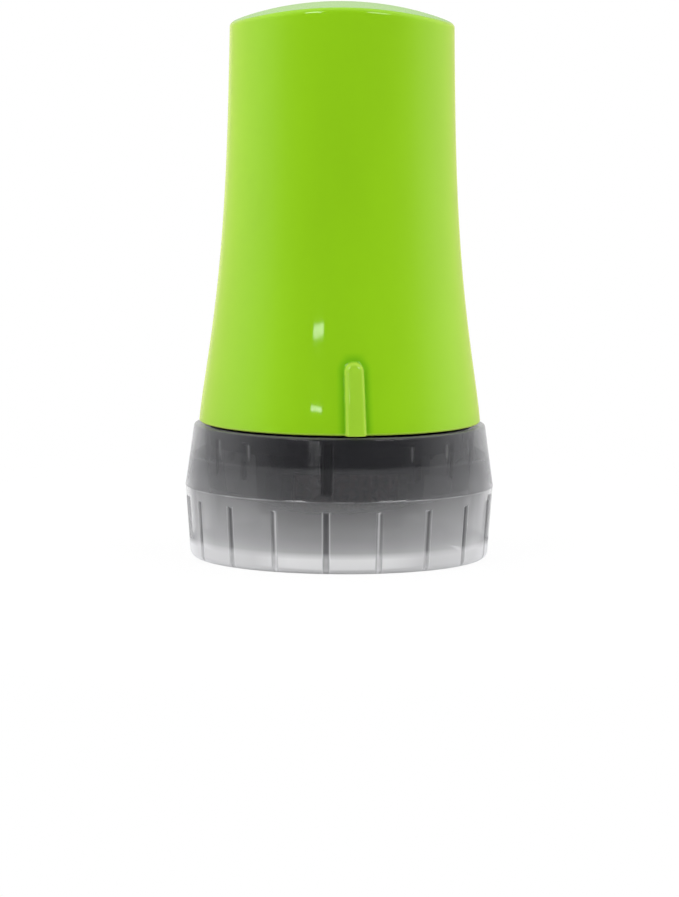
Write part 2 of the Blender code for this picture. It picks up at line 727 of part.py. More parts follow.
def make_rims(parts, material):
    """The toothed rim at each end of the wheel, which rolls on the paper and turns the band."""
    bore = STAMP_AXLE_RADIUS + 2 * RUNNING_GAP + HUB_SLEEVE_WALL
    root = WHEEL_RADIUS - RIM_TOOTH_DEPTH
    outline = []
    for tooth in range(RIM_TEETH):
        for radius, shares in ((WHEEL_RADIUS, RIM_TIP_SHARES), (root, RIM_ROOT_SHARES)):
            angles = [2 * math.pi * (tooth + share) / RIM_TEETH for share in shares]
            outline += [(radius * math.cos(a), radius * math.sin(a)) for a in angles]
    angles = [2 * math.pi * i / SMALL_STEPS for i in range(SMALL_STEPS)]
    hole = [(bore * math.cos(a), bore * math.sin(a)) for a in angles]
    pieces = []
    for name, side in (("drive_rim_left", -1), ("drive_rim_right", 1)):
        near, far = sorted((side * RIM_INNER_X, side * RIM_OUTER_X))
        rim = extruded(name, [outline, hole], near, far, parts)
        pieces.append(finish(lay_on_axle(rim, AXLE_Z), material))
    return pieces


def make_band(parts, material):
    """Rubber stamping band on the hub."""
    half = BAND_WIDTH / 2
    inner = WHEEL_RADIUS - BAND_THICKNESS
    band = ring("stamp_band", inner, WHEEL_RADIUS, -half, half, WHEEL_STEPS, parts)
    return finish(lay_on_axle(band, AXLE_Z), material)


def make_axle(name, radius, half_length, height, parts, material):
    """A steel pin along X with its middle on the axle line."""
    axle = rod(name, radius, (0, 0, -half_length), (0, 0, half_length), SMALL_STEPS, parts)
    return finish(lay_on_axle(axle, height), material)


def make_ink_roller(parts, core_material, foam_material, disc_material):
    """Ink roller: a tube core, a foam sleeve soaked with ink and a disc at each end."""
    bore = INK_AXLE_RADIUS + RUNNING_GAP
    half = INK_LENGTH / 2
    core_radius = bore + INK_CORE_WALL
    core = ring("ink_core", bore, core_radius, -half, half, SMALL_STEPS, parts)
    foam_inner = core_radius + RUNNING_GAP
    sleeve = ring("ink_sleeve", foam_inner, INK_RADIUS, -half, half, WHEEL_STEPS, parts)
    pieces = [
        finish(lay_on_axle(core, INK_Z), core_material),
        finish(lay_on_axle(sleeve, INK_Z), foam_material),
    ]
    low = half + INK_DISC_GAP
    disc_radius = INK_RADIUS - INK_DISC_SETBACK
    for name, side in (("ink_disc_left", -1), ("ink_disc_right", 1)):
        near, far = sorted((side * low, side * (low + INK_DISC)))
        disc = ring(name, bore, disc_radius, near, far, SMALL_STEPS, parts)
        pieces.append(finish(lay_on_axle(disc, INK_Z), disc_material))
    return pieces


def make_yoke(parts, cutters, material):
    """Sprung yoke over the ink roller: a plate, two arms with the axle's holes and two spring pins."""
    outline = flatted_round(YOKE_OUTER_X, TRUNK_BORE_Y - SEAT_GAP, TRUNK_BORE_REACH - SEAT_GAP)
    body = extruded("ink_yoke", [outline], YOKE_PLATE_Z, YOKE_TOP_Z, parts)
    half = YOKE_ARM_WIDTH / 2
    top = YOKE_PLATE_Z + YOKE_PLATE / 2
    foot = arc((0, INK_Z), half, 180, 360, 2 * ARC_STATIONS)
    angles = [2 * math.pi * i / SMALL_STEPS for i in range(SMALL_STEPS)]
    radius = INK_AXLE_RADIUS + RUNNING_GAP
    hole = [(radius * math.cos(a), INK_Z + radius * math.sin(a)) for a in angles]
    arms = []
    for side in (-1, 1):
        near, far = sorted((side * YOKE_INNER_X, side * YOKE_OUTER_X))
        arm = extruded("arm", [foot + [(half, top), (-half, top)], hole], near, far, cutters)
        arm.data.transform(Matrix(((0, 0, 1, 0), (1, 0, 0, 0), (0, 1, 0, 0), (0, 0, 0, 1))))
        arms.append(arm)
    combine(body, gathered("yoke_arms", arms, cutters), "UNION")
    pins = spring_pins("yoke_pins", top, YOKE_TOP_Z + SPRING_PIN_HEIGHT, cutters)
    combine(body, pins, "UNION")
    return finish(body, material)


def make_springs(parts, material):
    """The pair of coil springs that press the yoke down, each one unbroken helix of round wire."""
    low = YOKE_TOP_Z + SEAT_GAP + SPRING_WIRE / 2
    high = ROOF_Z - SEAT_GAP - SPRING_WIRE / 2
    count = round(SPRING_TURNS * CURL_POINTS)
    pieces = []
    for name, side in (("ink_spring_left", -1), ("ink_spring_right", 1)):
        curve = bpy.data.curves.new(name, "CURVE")
        curve.dimensions = "3D"
        curve.bevel_depth = SPRING_WIRE / 2
        curve.bevel_resolution = 1
        curve.use_fill_caps = True
        spline = curve.splines.new("POLY")
        spline.points.add(count)
        for i, point in enumerate(spline.points):
            angle = 2 * math.pi * i / CURL_POINTS
            x = side * SPRING_SPREAD / 2 + SPRING_RADIUS * math.cos(angle)
            y = SPRING_RADIUS * math.sin(angle)
            point.co = (x, y, low + (high - low) * i / count, 1)
        spring = add_object(name, curve, parts)
        bpy.context.view_layer.update()
        pieces.append(finish(as_mesh(spring), material))
    pitch = (high - low) / SPRING_TURNS
    print(f"least gap between the turns of a spring: {(pitch - SPRING_WIRE) / MM:.2f} mm")
    return pieces


def main():
    clear_scene()
    parts = new_collection("roller_stamp")
    cutters = new_collection("cutters")
    cutters.hide_render = True

    green = plastic("lime_plastic", (0.27, 0.58, 0.02), 0.25)
    smoke = plastic("smoked_plastic", (0.12, 0.12, 0.13), 0.08, alpha=0.55)
    black = plastic("black_plastic", (0.03, 0.03, 0.032), 0.4)
    grey = plastic("grey_plastic", (0.16, 0.16, 0.17), 0.45)
    acetal = plastic("white_acetal", (0.82, 0.82, 0.78), 0.35)
    rubber = plastic("band_rubber", (0.30, 0.12, 0.10), 0.6)
    grip = plastic("rim_rubber", (0.06, 0.06, 0.06), 0.7)
    steel = plastic("bright_steel", (0.62, 0.62, 0.64), 0.25, metallic=1.0)
    foam = plastic("inked_foam", (0.015, 0.015, 0.02), 0.9)

    case = make_case(parts, cutters, green)
    chassis = make_chassis(parts, cutters, grey)
    case_body = joint_empty("case_body", (0, 0, CASE_MOUTH_Z), parts)
    carry(case_body, [case, chassis])

    frame = make_cartridge_frame(parts, cutters, black)
    cover = make_cartridge_cover(parts, cutters, black)
    bushes = make_bushes(parts, acetal)
    springs = make_springs(parts, steel)
    cartridge = joint_empty("cartridge_body", (0, 0, CAP_HEIGHT), parts, case_body)
    carry(cartridge, [frame, cover, *bushes, *springs])

    cap = make_cap(parts, cutters, smoke)
    cap_body = joint_empty("cap_body", (0, 0, 0), parts, cartridge)
    carry(cap_body, [cap])

    hub = make_hub(parts, acetal)
    rims = make_rims(parts, grip)
    band = make_band(parts, rubber)
    stamp_end = CHEEK_INNER_X + BUSH_SEAT_DEPTH - RUNNING_GAP
    stamp_axle = make_axle("stamp_axle", STAMP_AXLE_RADIUS, stamp_end, AXLE_Z, parts, steel)
    wheel = joint_empty("stamp_wheel_body", (0, 0, AXLE_Z), parts, cartridge)
    carry(wheel, [hub, *rims, band, stamp_axle])

    yoke = make_yoke(parts, cutters, grey)
    move_origin(yoke, (0, 0, INK_Z))
    yoke_body = joint_empty("ink_yoke_body", (0, 0, INK_Z), parts, cartridge)
    carry(yoke_body, [yoke])

    roller = make_ink_roller(parts, acetal, foam, acetal)
    ink_end = YOKE_OUTER_X - INK_AXLE_SETBACK
    roller.append(make_axle("ink_axle", INK_AXLE_RADIUS, ink_end, INK_Z, parts, steel))
    roller_body = joint_empty("ink_roller_body", (0, 0, INK_Z), parts, yoke_body)
    carry(roller_body, roller)


main()
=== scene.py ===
"""Privacy roller stamp: fine surfaces, finishes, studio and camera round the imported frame.

It is laid out as an add-on and runs as a script. Metres, +Z up, the front with the anti-roll rib
towards -Y, and the origin in the middle of the cap's foot.
"""

import json
import math

import bpy
import numpy as np
from bpy.props import FloatProperty, FloatVectorProperty, IntProperty, PointerProperty
from mathutils import Matrix, Vector

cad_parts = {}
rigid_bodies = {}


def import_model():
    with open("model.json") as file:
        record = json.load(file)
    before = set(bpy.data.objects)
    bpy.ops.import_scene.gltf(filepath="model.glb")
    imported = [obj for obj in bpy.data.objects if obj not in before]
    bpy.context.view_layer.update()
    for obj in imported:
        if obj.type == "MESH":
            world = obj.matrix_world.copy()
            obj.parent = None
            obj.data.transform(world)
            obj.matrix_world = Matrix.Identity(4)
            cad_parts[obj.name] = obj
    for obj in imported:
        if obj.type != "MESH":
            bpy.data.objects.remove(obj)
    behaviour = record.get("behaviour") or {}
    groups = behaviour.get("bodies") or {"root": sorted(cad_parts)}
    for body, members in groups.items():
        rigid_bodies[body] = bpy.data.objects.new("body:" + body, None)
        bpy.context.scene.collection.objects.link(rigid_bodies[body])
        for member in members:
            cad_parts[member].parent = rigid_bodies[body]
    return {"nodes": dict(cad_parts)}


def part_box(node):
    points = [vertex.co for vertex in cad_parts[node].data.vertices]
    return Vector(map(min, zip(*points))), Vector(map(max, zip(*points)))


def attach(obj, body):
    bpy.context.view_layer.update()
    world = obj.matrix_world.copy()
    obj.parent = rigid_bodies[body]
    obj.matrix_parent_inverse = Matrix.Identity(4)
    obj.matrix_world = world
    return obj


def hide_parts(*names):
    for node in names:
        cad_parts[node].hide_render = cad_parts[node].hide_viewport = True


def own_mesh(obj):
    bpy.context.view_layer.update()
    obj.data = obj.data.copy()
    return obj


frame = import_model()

bl_info = {
    "name": "Roller Stamp",
    "version": (1, 0, 0),
    "blender": (4, 5, 0),
    "location": "3D View > Sidebar > Roller Stamp",
    "description": "Builds the case, cap, cartridge, wheel and studio of a privacy roller stamp",
    "category": "Object",
}

MM = 0.001
TURN = 2 * math.pi
QUARTER = math.pi / 2
FRONT = -QUARTER
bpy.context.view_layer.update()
CAP_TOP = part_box("cap")[1].z
CASE_LOW, CASE_HIGH = (corner.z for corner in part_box("case_shell"))
BAND_LOW, BAND_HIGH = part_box("stamp_band")
SLEEVE_LOW, SLEEVE_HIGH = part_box("ink_sleeve")
WHEEL_Z = (BAND_LOW.z + BAND_HIGH.z) / 2
WHEEL_RADIUS = BAND_HIGH.z - WHEEL_Z
INK_Z = (SLEEVE_LOW.z + SLEEVE_HIGH.z) / 2
INK_RADIUS = SLEEVE_HIGH.z - INK_Z
INK_CORE_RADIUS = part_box("ink_core")[1].z - INK_Z

# Painted shade and highlight of each grip groove, counted from the one right of the front, and the grooves
# whose painted marks hardly show
GROOVE_SHADES = (
    0.1, 0.6, 0.85, 0.6, 0.4, 0.7, 0.5, 0.85, 0.3, 0.7, 0.4, 0.8, 0.5, 0.1, 0.8, 0.85, 0.1, 1.0
)
FAINT_GROOVES = {3: 0.5, 13: 0.0}

# Studio: the point that the lamps face, their distance, and the gloss lights' height over that point
AIM = (0.0, 0.0, 35.0 * MM)
LAMP_REACH = 1.0
SOFTBOX_RISE = 35.0


def length(name, description, value, high=200.0):
    """A size for a property group, given in millimetres."""
    return FloatProperty(
        name=name, description=description, default=value * MM, min=0.0, max=high * MM, precision=5,
        unit="LENGTH"
    )


def plain(name, description, value, low, high):
    """A number without a unit for a property group."""
    return FloatProperty(name=name, description=description, default=value, min=low, max=high)


def angle(name, description, degrees):
    """An angle for a property group."""
    return FloatProperty(name=name, description=description, default=math.radians(degrees), subtype="ANGLE")


def whole(name, description, value, low, high):
    """A whole number for a property group."""
    return IntProperty(name=name, description=description, default=value, min=low, max=high)


def watts(name, description, value):
    """The power of a lamp for a property group."""
    return FloatProperty(name=name, description=description, default=value, min=0.0, unit="POWER")


def colour(name, description, value):
    """A linear colour for a property group."""
    return FloatVectorProperty(
        name=name, description=description, default=value, size=3, min=0.0, max=1.0, subtype="COLOR"
    )


class CaseSizes(bpy.types.PropertyGroup):
    """Sizes of the green bell and its anti-roll rib."""

    mouth_radius: length("Mouth radius", "Outer radius at the mouth", 17.4)
    top_radius: length("Top radius", "Radius that the flare runs out to", 13.751)
    wall: length("Wall", "Thickness of the shell", 1.5)
    flare: length("Flare", "Height over which the flare dies away", 18.4)
    flare_power: plain("Flare power", "How late and how fast the flare dies away", 1.3, 0.5, 3.0)
    crown_radius: length("Crown radius", "Radius of the arched top", 43.0)
    crown_turn: angle("Crown turn", "Angle of the arch from the rib", -6.0)
    crown_blend: length("Crown blend", "Height below the top over which the arch fades", 9.0)
    crown_fillet: length("Crown fillet", "Rounding of the top edge", 0.7)
    mouth_fillet: length("Mouth fillet", "Rounding of both edges of the mouth", 0.26)
    rib_width: length("Rib width", "Width of the anti-roll rib at the mouth", 2.42)
    rib_taper: length("Rib taper", "How much narrower the rib is at its top", 0.22)
    rib_length: length("Rib length", "Height of the rib above the mouth", 8.85)
    rib_lean: length("Rib lean", "How far the rib leans sideways over its length", 0.2)
    rib_height: length("Rib height", "How far the rib stands out", 0.95)
    rib_edge: length("Rib edge", "Rounding of the rib's outline", 0.42)
    rib_foot: length("Rib foot", "Width of the hollow at the rib's foot", 0.16)
    guide_reach: length("Guide reach", "Distance of the four inner guides from the axis", 13.15)
    guide_width: length("Guide width", "Width of each inner guide", 1.2)
    guide_low: length("Guide foot", "Height where the inner guides begin", 21.3)
    guide_high: length("Guide head", "Height where the inner guides end", 45.3)


class CapSizes(bpy.types.PropertyGroup):
    """Sizes of the smoked push-on cap."""

    base_radius: length("Base radius", "Outer radius above the foot's rounding", 18.45)
    widest_radius: length("Widest radius", "Outer radius at the parting line", 19.05)
    mouth_radius: length("Mouth radius", "Outer radius at the lip", 18.05)
    bore_radius: length("Bore radius", "Inner radius at the lip", 16.7)
    floor_radius: length("Floor radius", "Inner radius at the floor", 16.4)
    parting: length("Parting height", "Height of the parting line", 8.9)
    floor: length("Floor height", "Height of the inner floor", 2.3)
    foot_width: length("Foot width", "Width of the ring that it stands on", 2.1)
    foot_height: length("Foot height", "Depth of the hollow inside the foot", 0.5)
    base_fillet: length("Base fillet", "Rounding above the foot", 0.9)
    floor_fillet: length("Floor fillet", "Rounding round the inner floor", 1.0)
    lip_fillet: length("Lip fillet", "Rounding of the lip's outer edge", 0.35)
    grooves: whole("Grooves", "Grip grooves round the lower band", 18, 6, 40)
    groove_turn: angle("Groove turn", "How far the grooves are turned from the rib", -1.0)
    groove_width: length("Groove width", "Width of a grip groove", 0.85)
    groove_top: length("Groove top", "Height where the grooves end", 7.6)
    flash: length("Flash", "How far the parting line stands proud", 0.05)
    rib_width: length("Holding rib width", "Width of a holding rib inside", 0.8)
    rib_height: length("Holding rib height", "How far a holding rib stands in", 0.4)
    rib_low: length("Holding rib foot", "Height where the holding ribs begin", 10.6)
    rib_high: length("Holding rib head", "Height where the holding ribs end", 15.4)
    collar: length("Collar height", "Height where the cartridge's collar shows through", 12.5)


class WheelSizes(bpy.types.PropertyGroup):
    """Sizes of the stamping band, its drive rims, the ink sleeve and the springs."""

    relief: length("Relief", "Depth of the raised printing pattern", 0.4)
    band: length("Band", "Thickness of the stamping band", 1.4)
    cells_round: whole("Cells round", "Marks round the band", 54, 12, 90)
    cells_across: whole("Cells across", "Marks across the band", 11, 3, 20)
    teeth: whole("Teeth", "Teeth of a drive rim", 30, 8, 90)
    tooth_depth: length("Tooth depth", "Depth between the teeth of a drive rim", 0.35)
    rim_bore: length("Rim bore", "Inner radius of a drive rim", 3.1)
    rim_edge: length("Rim edge", "Rounding of a drive rim", 0.1)
    sleeve_gap: length("Sleeve gap", "Gap between the ink sleeve and its core", 0.15)
    sleeve_edge: length("Sleeve edge", "Rounding of the ink sleeve", 0.45)
    wire: length("Spring wire", "Thickness of the spring wire", 0.45)
    coil_radius: length("Coil radius", "Radius of the coil's centre line", 1.8)
    coil_turns: plain("Turns", "Turns of each spring", 4.5, 1.0, 12.0)
    coil_spread: length("Coil spread", "Distance between the two springs", 7.2)


class Finishes(bpy.types.PropertyGroup):
    """Colours of the stamp's finishes."""

    lime: colour("Lime", "Gloss plastic of the case", (0.243, 0.55, 0.004))
    lime_edge: colour("Lime edge glow", "Tint of the soft glow at grazing angles", (0.77, 0.82, 0.15))
    # Painted highlight on the rib's rounded face and along the mouth's lower edge
    lime_highlight: colour("Pale lime", "The rib, and edges where the plastic is thin", (0.385, 0.61, 0.064))
    # Painted shade on the wall beside the rib, where the rib blocks the light
    lime_shade_beside_rib: colour("Deep lime", "The wall beside the rib, where the plastic is thick", (0.13, 0.44, 0.001))
    smoke: colour("Smoke", "Smoked plastic above the parting line", (0.020, 0.020, 0.023))
    # Painted light: the table's light shining up through the cap's lower band, also laid on the skirt's
    # sides, a line at the collar and the limbs
    painted_light: colour("Frost", "Milky tone that grows towards the foot", (0.86, 0.86, 0.88))
    # The two foot colours are painted light shining up through the thick floor and foot, darker where the
    # wall turns away
    foot: colour("Foot", "Thick floor and foot of the cap", (0.78, 0.78, 0.79))
    foot_shade: colour("Foot sides", "The foot where the wall turns away", (0.60, 0.60, 0.61))
    # Painted shade in the grip grooves
    groove: colour("Groove", "Grip grooves seen against the light", (0.03, 0.03, 0.034))
    # Painted shade where the holding ribs show through the skirt
    rib: colour("Holding rib", "Holding ribs seen through the skirt", (0.006, 0.006, 0.007))
    glint: colour("Glint", "Lit edges of grooves and parting line", (0.85, 0.85, 0.87))
    smoke_cover: FloatProperty(
        name="Smoke cover", description="How much one wall's face hides above the parting line",
        default=0.6, min=0.0, max=1.0, subtype="FACTOR"
    )
    black: colour("Black", "Moulded cartridge", (0.012, 0.012, 0.0135))
    grey: colour("Grey", "Guide in the case and the ink yoke", (0.13, 0.13, 0.14))
    acetal: colour("Acetal", "Hub, bushes and discs", (0.78, 0.78, 0.73))
    ink_dust: colour("Ink dust", "Dried ink on the white pieces", (0.16, 0.16, 0.2))
    band: colour("Band rubber", "Stamping band between its marks", (0.25, 0.15, 0.14))
    ink: colour("Ink", "Ink on the marks and in the foam", (0.022, 0.022, 0.027))
    dry_foam: colour("Dry foam", "Struts of the foam that hold no ink", (0.05, 0.05, 0.062))
    tyre: colour("Tyre rubber", "Drive rims", (0.035, 0.035, 0.037))
    steel: colour("Steel", "Axles and springs", (0.62, 0.62, 0.64))


class StudioSettings(bpy.types.PropertyGroup):
    """Camera, floor and light."""

    camera_turn: angle("Camera turn", "Angle of the camera round the stamp from the front", -6.2)
    camera_reach: length("Camera reach", "Distance of the camera from the axis", 662.9, 3000.0)
    camera_height: length("Camera height", "Height of the camera above the table", 87.9, 3000.0)
    camera_tilt: angle("Camera tilt", "How far the camera looks down", 6.4175)
    camera_roll: angle("Camera roll", "Turn of the camera about its line of sight", 0.371)
    lens: FloatProperty(name="Lens", description="Focal length of the camera", default=215.85, unit="CAMERA")
    front_light: watts("Front light", "Power of each front softbox", 2.5)
    side_light: watts("Side light", "Power of each side light", 3.2)
    window_light: watts("Window light", "Power of the small window", 0.042)
    top_light: watts("Top light", "Power of the light overhead", 5.0)


class Wire:
    """An output socket of a material. Arithmetic on it adds Math nodes."""

    def __init__(self, graph, socket):
        self.graph = graph
        self.socket = socket

    def math(self, operation, first, second):
        return self.graph.add("ShaderNodeMath", {"operation": operation}, {0: first, 1: second})[0]

    def __add__(self, other):
        return self.math("ADD", self, other)

    __radd__ = __add__

    def __sub__(self, other):
        return self.math("SUBTRACT", self, other)

    def __rsub__(self, other):
        return self.math("SUBTRACT", other, self)

    def __mul__(self, other):
        return self.math("MULTIPLY", self, other)

    __rmul__ = __mul__

    def clamped(self, low, high):
        """0 where the value is low, 1 where it is high, and a straight slope between."""
        sockets = {"Value": self, "From Min": low, "From Max": high}
        return self.graph.add("ShaderNodeMapRange", {"clamp": True}, sockets)["Result"]


def opaque(value):
    """A colour with an alpha of 1, and a wire or a number as it is."""
    return (*value, 1.0) if hasattr(value, "__len__") else value


class Node:
    """A node whose outputs are read as wires."""

    def __init__(self, graph, node):
        self.graph = graph
        self.node = node

    def __getitem__(self, key):
        return Wire(self.graph, self.node.outputs[key])


class Graph:
    """The node tree of a material or world, empty at first."""

    def __init__(self, owner):
        owner.use_nodes = True
        self.tree = owner.node_tree
        self.tree.nodes.clear()

    def feed(self, socket, value):
        """Links a wire to a socket, or sets the socket's own value."""
        if isinstance(value, Wire):
            self.tree.links.new(value.socket, socket)
        else:
            socket.default_value = value

    def add(self, kind, settings=None, sockets=None):
        """Adds a node of a type. Settings are set first, and stops are a ramp's places and grey levels."""
        node = self.tree.nodes.new(kind)
        for name, value in (settings or {}).items():
            if name == "stops":
                ramp = node.color_ramp
                for number, (place, level) in enumerate(value):
                    stop = ramp.elements[number] if number < 2 else ramp.elements.new(place)
                    stop.position = place
                    stop.color = (level, level, level, 1.0)
            else:
                setattr(node, name, value)
        for key, value in (sockets or {}).items():
            self.feed(node.inputs[key], value)
        return Node(self, node)

    def blend(self, factor, first, second):
        """A colour between two colours."""
        sockets = {0: factor, 6: opaque(first), 7: opaque(second)}
        return self.add("ShaderNodeMix", {"data_type": "RGBA"}, sockets)[2]

    def mixed(self, factor, first, second):
        """A shader between two shaders."""
        return self.add("ShaderNodeMixShader", None, {0: factor, 1: first, 2: second})[0]

    def held(self, value):
        """A value held between 0 and 1."""
        return self.add("ShaderNodeClamp", None, {0: value})[0]

    def seen(self):
        """1 on rays that come from the camera, straight or through the clear plastic, and 0 on others."""
        path = self.add("ShaderNodeLightPath")
        return self.held(path["Is Camera Ray"] + path["Is Transmission Ray"])


class Finish(Graph):
    """A material's graph with its Principled shader and the place of a point on the stamp."""

    def __init__(self, name):
        self.material = bpy.data.materials.new(name)
        super().__init__(self.material)
        self.output = self.add("ShaderNodeOutputMaterial").node
        self.place = self.add("ShaderNodeTexCoord")["Object"]
        self.surface = self.principled()
        self.show(self.surface)

    def principled(self):
        """Adds a Principled shader, which the next call of set fills, and gives its wire."""
        made = self.add("ShaderNodeBsdfPrincipled")
        self.shader = made.node
        return made[0]

    def show(self, shader):
        """Makes a shader the one that the material shows."""
        self.feed(self.output.inputs[0], shader)

    def noise(self, scale, detail=2.0, roughness=0.5, stretch=None):
        """Smooth noise about 0.5, with a scale in waves a metre, and stretched where grain runs one way."""
        place = self.place
        if stretch:
            place = self.add("ShaderNodeMapping", None, {"Vector": place, "Scale": stretch})[0]
        sockets = {"Vector": place, "Scale": scale, "Detail": detail, "Roughness": roughness}
        return self.add("ShaderNodeTexNoise", None, sockets)[0]

    def mark(self, name):
        """A mark that the piece's own points carry, from 0 to 1."""
        return self.add("ShaderNodeAttribute", {"attribute_name": name})["Fac"]

    def bump(self, relief, distance, strength):
        """A normal that is roughened by a relief of a depth in metres."""
        sockets = {"Strength": strength, "Distance": distance, "Height": relief}
        return self.add("ShaderNodeBump", None, sockets)[0]

    def set(self, **values):
        """Sets or links sockets of the Principled shader, named with underscores, and gives the material."""
        for key, value in values.items():
            self.feed(self.shader.inputs[key.replace("_", " ")], opaque(value))
        return self.material


def scaled(tone, factor, lift=0.0):
    """A colour made darker or lighter, and no channel over 1."""
    return [min(1.0, value * factor + lift) for value in tone]


def unit(value):
    """Values held between 0 and 1."""
    return np.clip(value, 0.0, 1.0)


def smoothstep(value):
    """0 below 0, 1 above 1, and 3t^2 - 2t^3 between."""
    held = unit(value)
    return held * held * (3.0 - 2.0 * held)


def within(half, place, soft):
    """1 where a place is nearer to zero than half, 0 beyond, with a soft edge of a width."""
    return smoothstep((half - np.abs(place)) / soft + 0.5)


def hump(place, centre, width):
    """1 at the centre and dying away on both sides: exp(-((x - c) / w)^2)."""
    return np.exp(-(((place - centre) / width) ** 2))


def wrapped(angles):
    """Angles brought between -pi and pi."""
    return (angles + math.pi) % TURN - math.pi


def once_round(count):
    """Evenly spaced angles once round."""
    return np.linspace(0.0, TURN, count, endpoint=False)


def stations(places, counts):
    """Values from place to place, evenly spaced in each stretch, with a count of steps for each."""
    stretches = zip(places, places[1:], counts)
    runs = [np.linspace(start, end, count, endpoint=False) for start, end, count in stretches]
    return np.concatenate([*runs, places[-1:]])


def arc_rows(centre, radius, start, end, count):
    """Points of a quarter or other arc as rows of radius and height, angles in degrees from +r to +z."""
    angles = np.radians(np.linspace(start, end, count))
    return np.stack([centre[0] + radius * np.cos(angles), centre[1] + radius * np.sin(angles)], axis=1)


def line_rows(start, end, count):
    """Points on a straight line without its two ends."""
    shares = (np.arange(count) + 1.0) / (count + 1.0)
    first = np.asarray(start, float)
    return first + shares[:, None] * (np.asarray(end, float) - first)


def profile_rows(radius, height):
    """Rows of radius and height from two lists, or from a number and a list."""
    return np.stack(np.broadcast_arrays(radius, height), axis=1)


def turned_grid(profile, angles):
    """Rings round Z, one for each row of the profile, as a grid of radius and a grid of height."""
    return tuple(np.repeat(profile[:, number, None], len(angles), axis=1) for number in (0, 1))


def zoned(angles, parts):
    """The grids of radius and height for a profile of named stretches, and a column of its rows' names."""
    names = np.repeat(list(parts), [len(rows) for rows in parts.values()])
    return *turned_grid(np.vstack(list(parts.values())), angles), names[:, None]


def points_from(radius, height, angles):
    """Turns grids of radius and height into points: x = r cos a, y = r sin a, z = height."""
    return np.stack([radius * np.cos(angles), radius * np.sin(angles), height], axis=-1)


def on_axle(radius, height, angles, centre):
    """Turns such grids round an axle along X instead: x = height, y = r cos a, z = r sin a + centre."""
    return np.stack([height, radius * np.cos(angles), radius * np.sin(angles) + centre], axis=-1)


def ring_faces(rows, columns):
    """Numbers of the points in a grid of rings, those of their neighbours, and the quads from each ring to
    the next. The last row of quads joins the last ring to the first."""
    index = np.arange(rows * columns).reshape(rows, columns)
    beside = np.roll(index, -1, axis=1)
    quads = np.stack([index, beside, np.roll(beside, -1, axis=0), np.roll(index, -1, axis=0)], axis=-1)
    return index, beside, quads


def linked(name, data):
    """A new object at the origin, in the scene, with its data."""
    made = bpy.data.objects.new(name, data)
    bpy.context.scene.collection.objects.link(made)
    return made


def meshed(name, places, faces, material):
    """An object with a mesh of points and faces."""
    mesh = bpy.data.meshes.new(name)
    mesh.from_pydata(places.tolist(), [], faces)
    mesh.materials.append(material)
    return linked(name, mesh)


def skin(name, points, material, sharp, looped=False, marks=None):
    """A closed skin on a grid of points. Each row is a closed ring. When looped, the last row joins the
    first, as on a tube bent to a ring. Otherwise the first and last rows shrink to one point each."""
    rows, columns = points.shape[:2]
    index, beside, quads = ring_faces(rows, columns)
    faces = quads[: rows if looped else rows - 1].reshape(-1, 4).tolist()
    places = points.reshape(-1, 3)
    if not looped:
        low, high = np.full(columns, rows * columns), np.full(columns, rows * columns + 1)
        faces += np.stack([low, beside[0], index[0]], axis=-1).tolist()
        faces += np.stack([high, index[-1], beside[-1]], axis=-1).tolist()
        places = np.vstack([places, points[0].mean(axis=0), points[-1].mean(axis=0)])
    made = meshed(name, places, faces, material)
    made.data.shade_smooth()
    made.data.set_sharp_from_angle(angle=math.radians(sharp))
    for mark, values in (marks or {}).items():
        flat = values.reshape(-1)
        if not looped:
            flat = np.concatenate([flat, [values[0].mean(), values[-1].mean()]])
        layer = made.data.attributes.new(mark, "FLOAT", "POINT")
        layer.data.foreach_set("value", flat.astype(np.float32))
    return made


def case_radius(case, height):
    """Outer radius of the bell: top + (mouth - top) * exp(-((z - mouth height) / flare) ** power)."""
    rise = np.maximum(0.0, (height - CASE_LOW) / case.flare)
    return case.top_radius + (case.mouth_radius - case.top_radius) * np.exp(-(rise**case.flare_power))


def arched(case, points, top):
    """Bends the head of the bell to an arch: with u = x cos t + y sin t for the turn t, the height drops by
    R - sqrt(R^2 - u^2), faded in over the blend."""
    faded = unit((points[..., 2] - (top - case.crown_blend)) / case.crown_blend)
    across = points[..., 0] * math.cos(case.crown_turn) + points[..., 1] * math.sin(case.crown_turn)
    bent = points.copy()
    bent[..., 2] -= (case.crown_radius - np.sqrt(case.crown_radius**2 - across**2)) * faded
    return bent


def rib_relief(case, along, up):
    """Height of the anti-roll rib over the bell, and the depth inside its outline. With d that depth, the
    rib steps up, then follows sqrt(1 - (1 - d / e)^2) up to the edge radius e, and a gentle dome beyond.
    Outside the round-headed outline there is a small hollow fillet."""
    step_share, round_share, dome_share = 0.20, 0.62, 0.18
    share_up = unit((up - CASE_LOW) / case.rib_length)
    along = along - case.rib_lean * (0.5 - share_up)
    half = (case.rib_width - case.rib_taper * share_up) / 2.0
    head = CASE_LOW + case.rib_length - (case.rib_width - case.rib_taper) / 2.0
    depth = half - np.hypot(along, np.maximum(0.0, up - head))
    edge = np.sqrt(1.0 - (1.0 - unit(depth / case.rib_edge)) ** 2)
    dome = 1.0 - (1.0 - unit(depth / half)) ** 2
    rounded = step_share + round_share * edge + dome_share * dome
    hollow = step_share * unit(1.0 + depth / case.rib_foot) ** 2
    return case.rib_height * np.where(depth > 0.0, rounded, hollow), depth


def case_angles():
    """Angles round the bell, close together at the rib and at the four inner guides."""
    rib_reach, guide_reach, least_step = 0.16, 0.062, 0.0012
    parts = [np.linspace(-math.pi, math.pi, 216, endpoint=False)]
    parts.append(FRONT + np.linspace(-rib_reach, rib_reach, 81))
    for place in (0.0, QUARTER, math.pi - 1e-4, FRONT):
        parts.append(place + np.linspace(-guide_reach, guide_reach, 19))
    angles = np.sort(wrapped(np.concatenate(parts)))
    return angles[np.concatenate([[True], np.diff(angles) > least_step])]


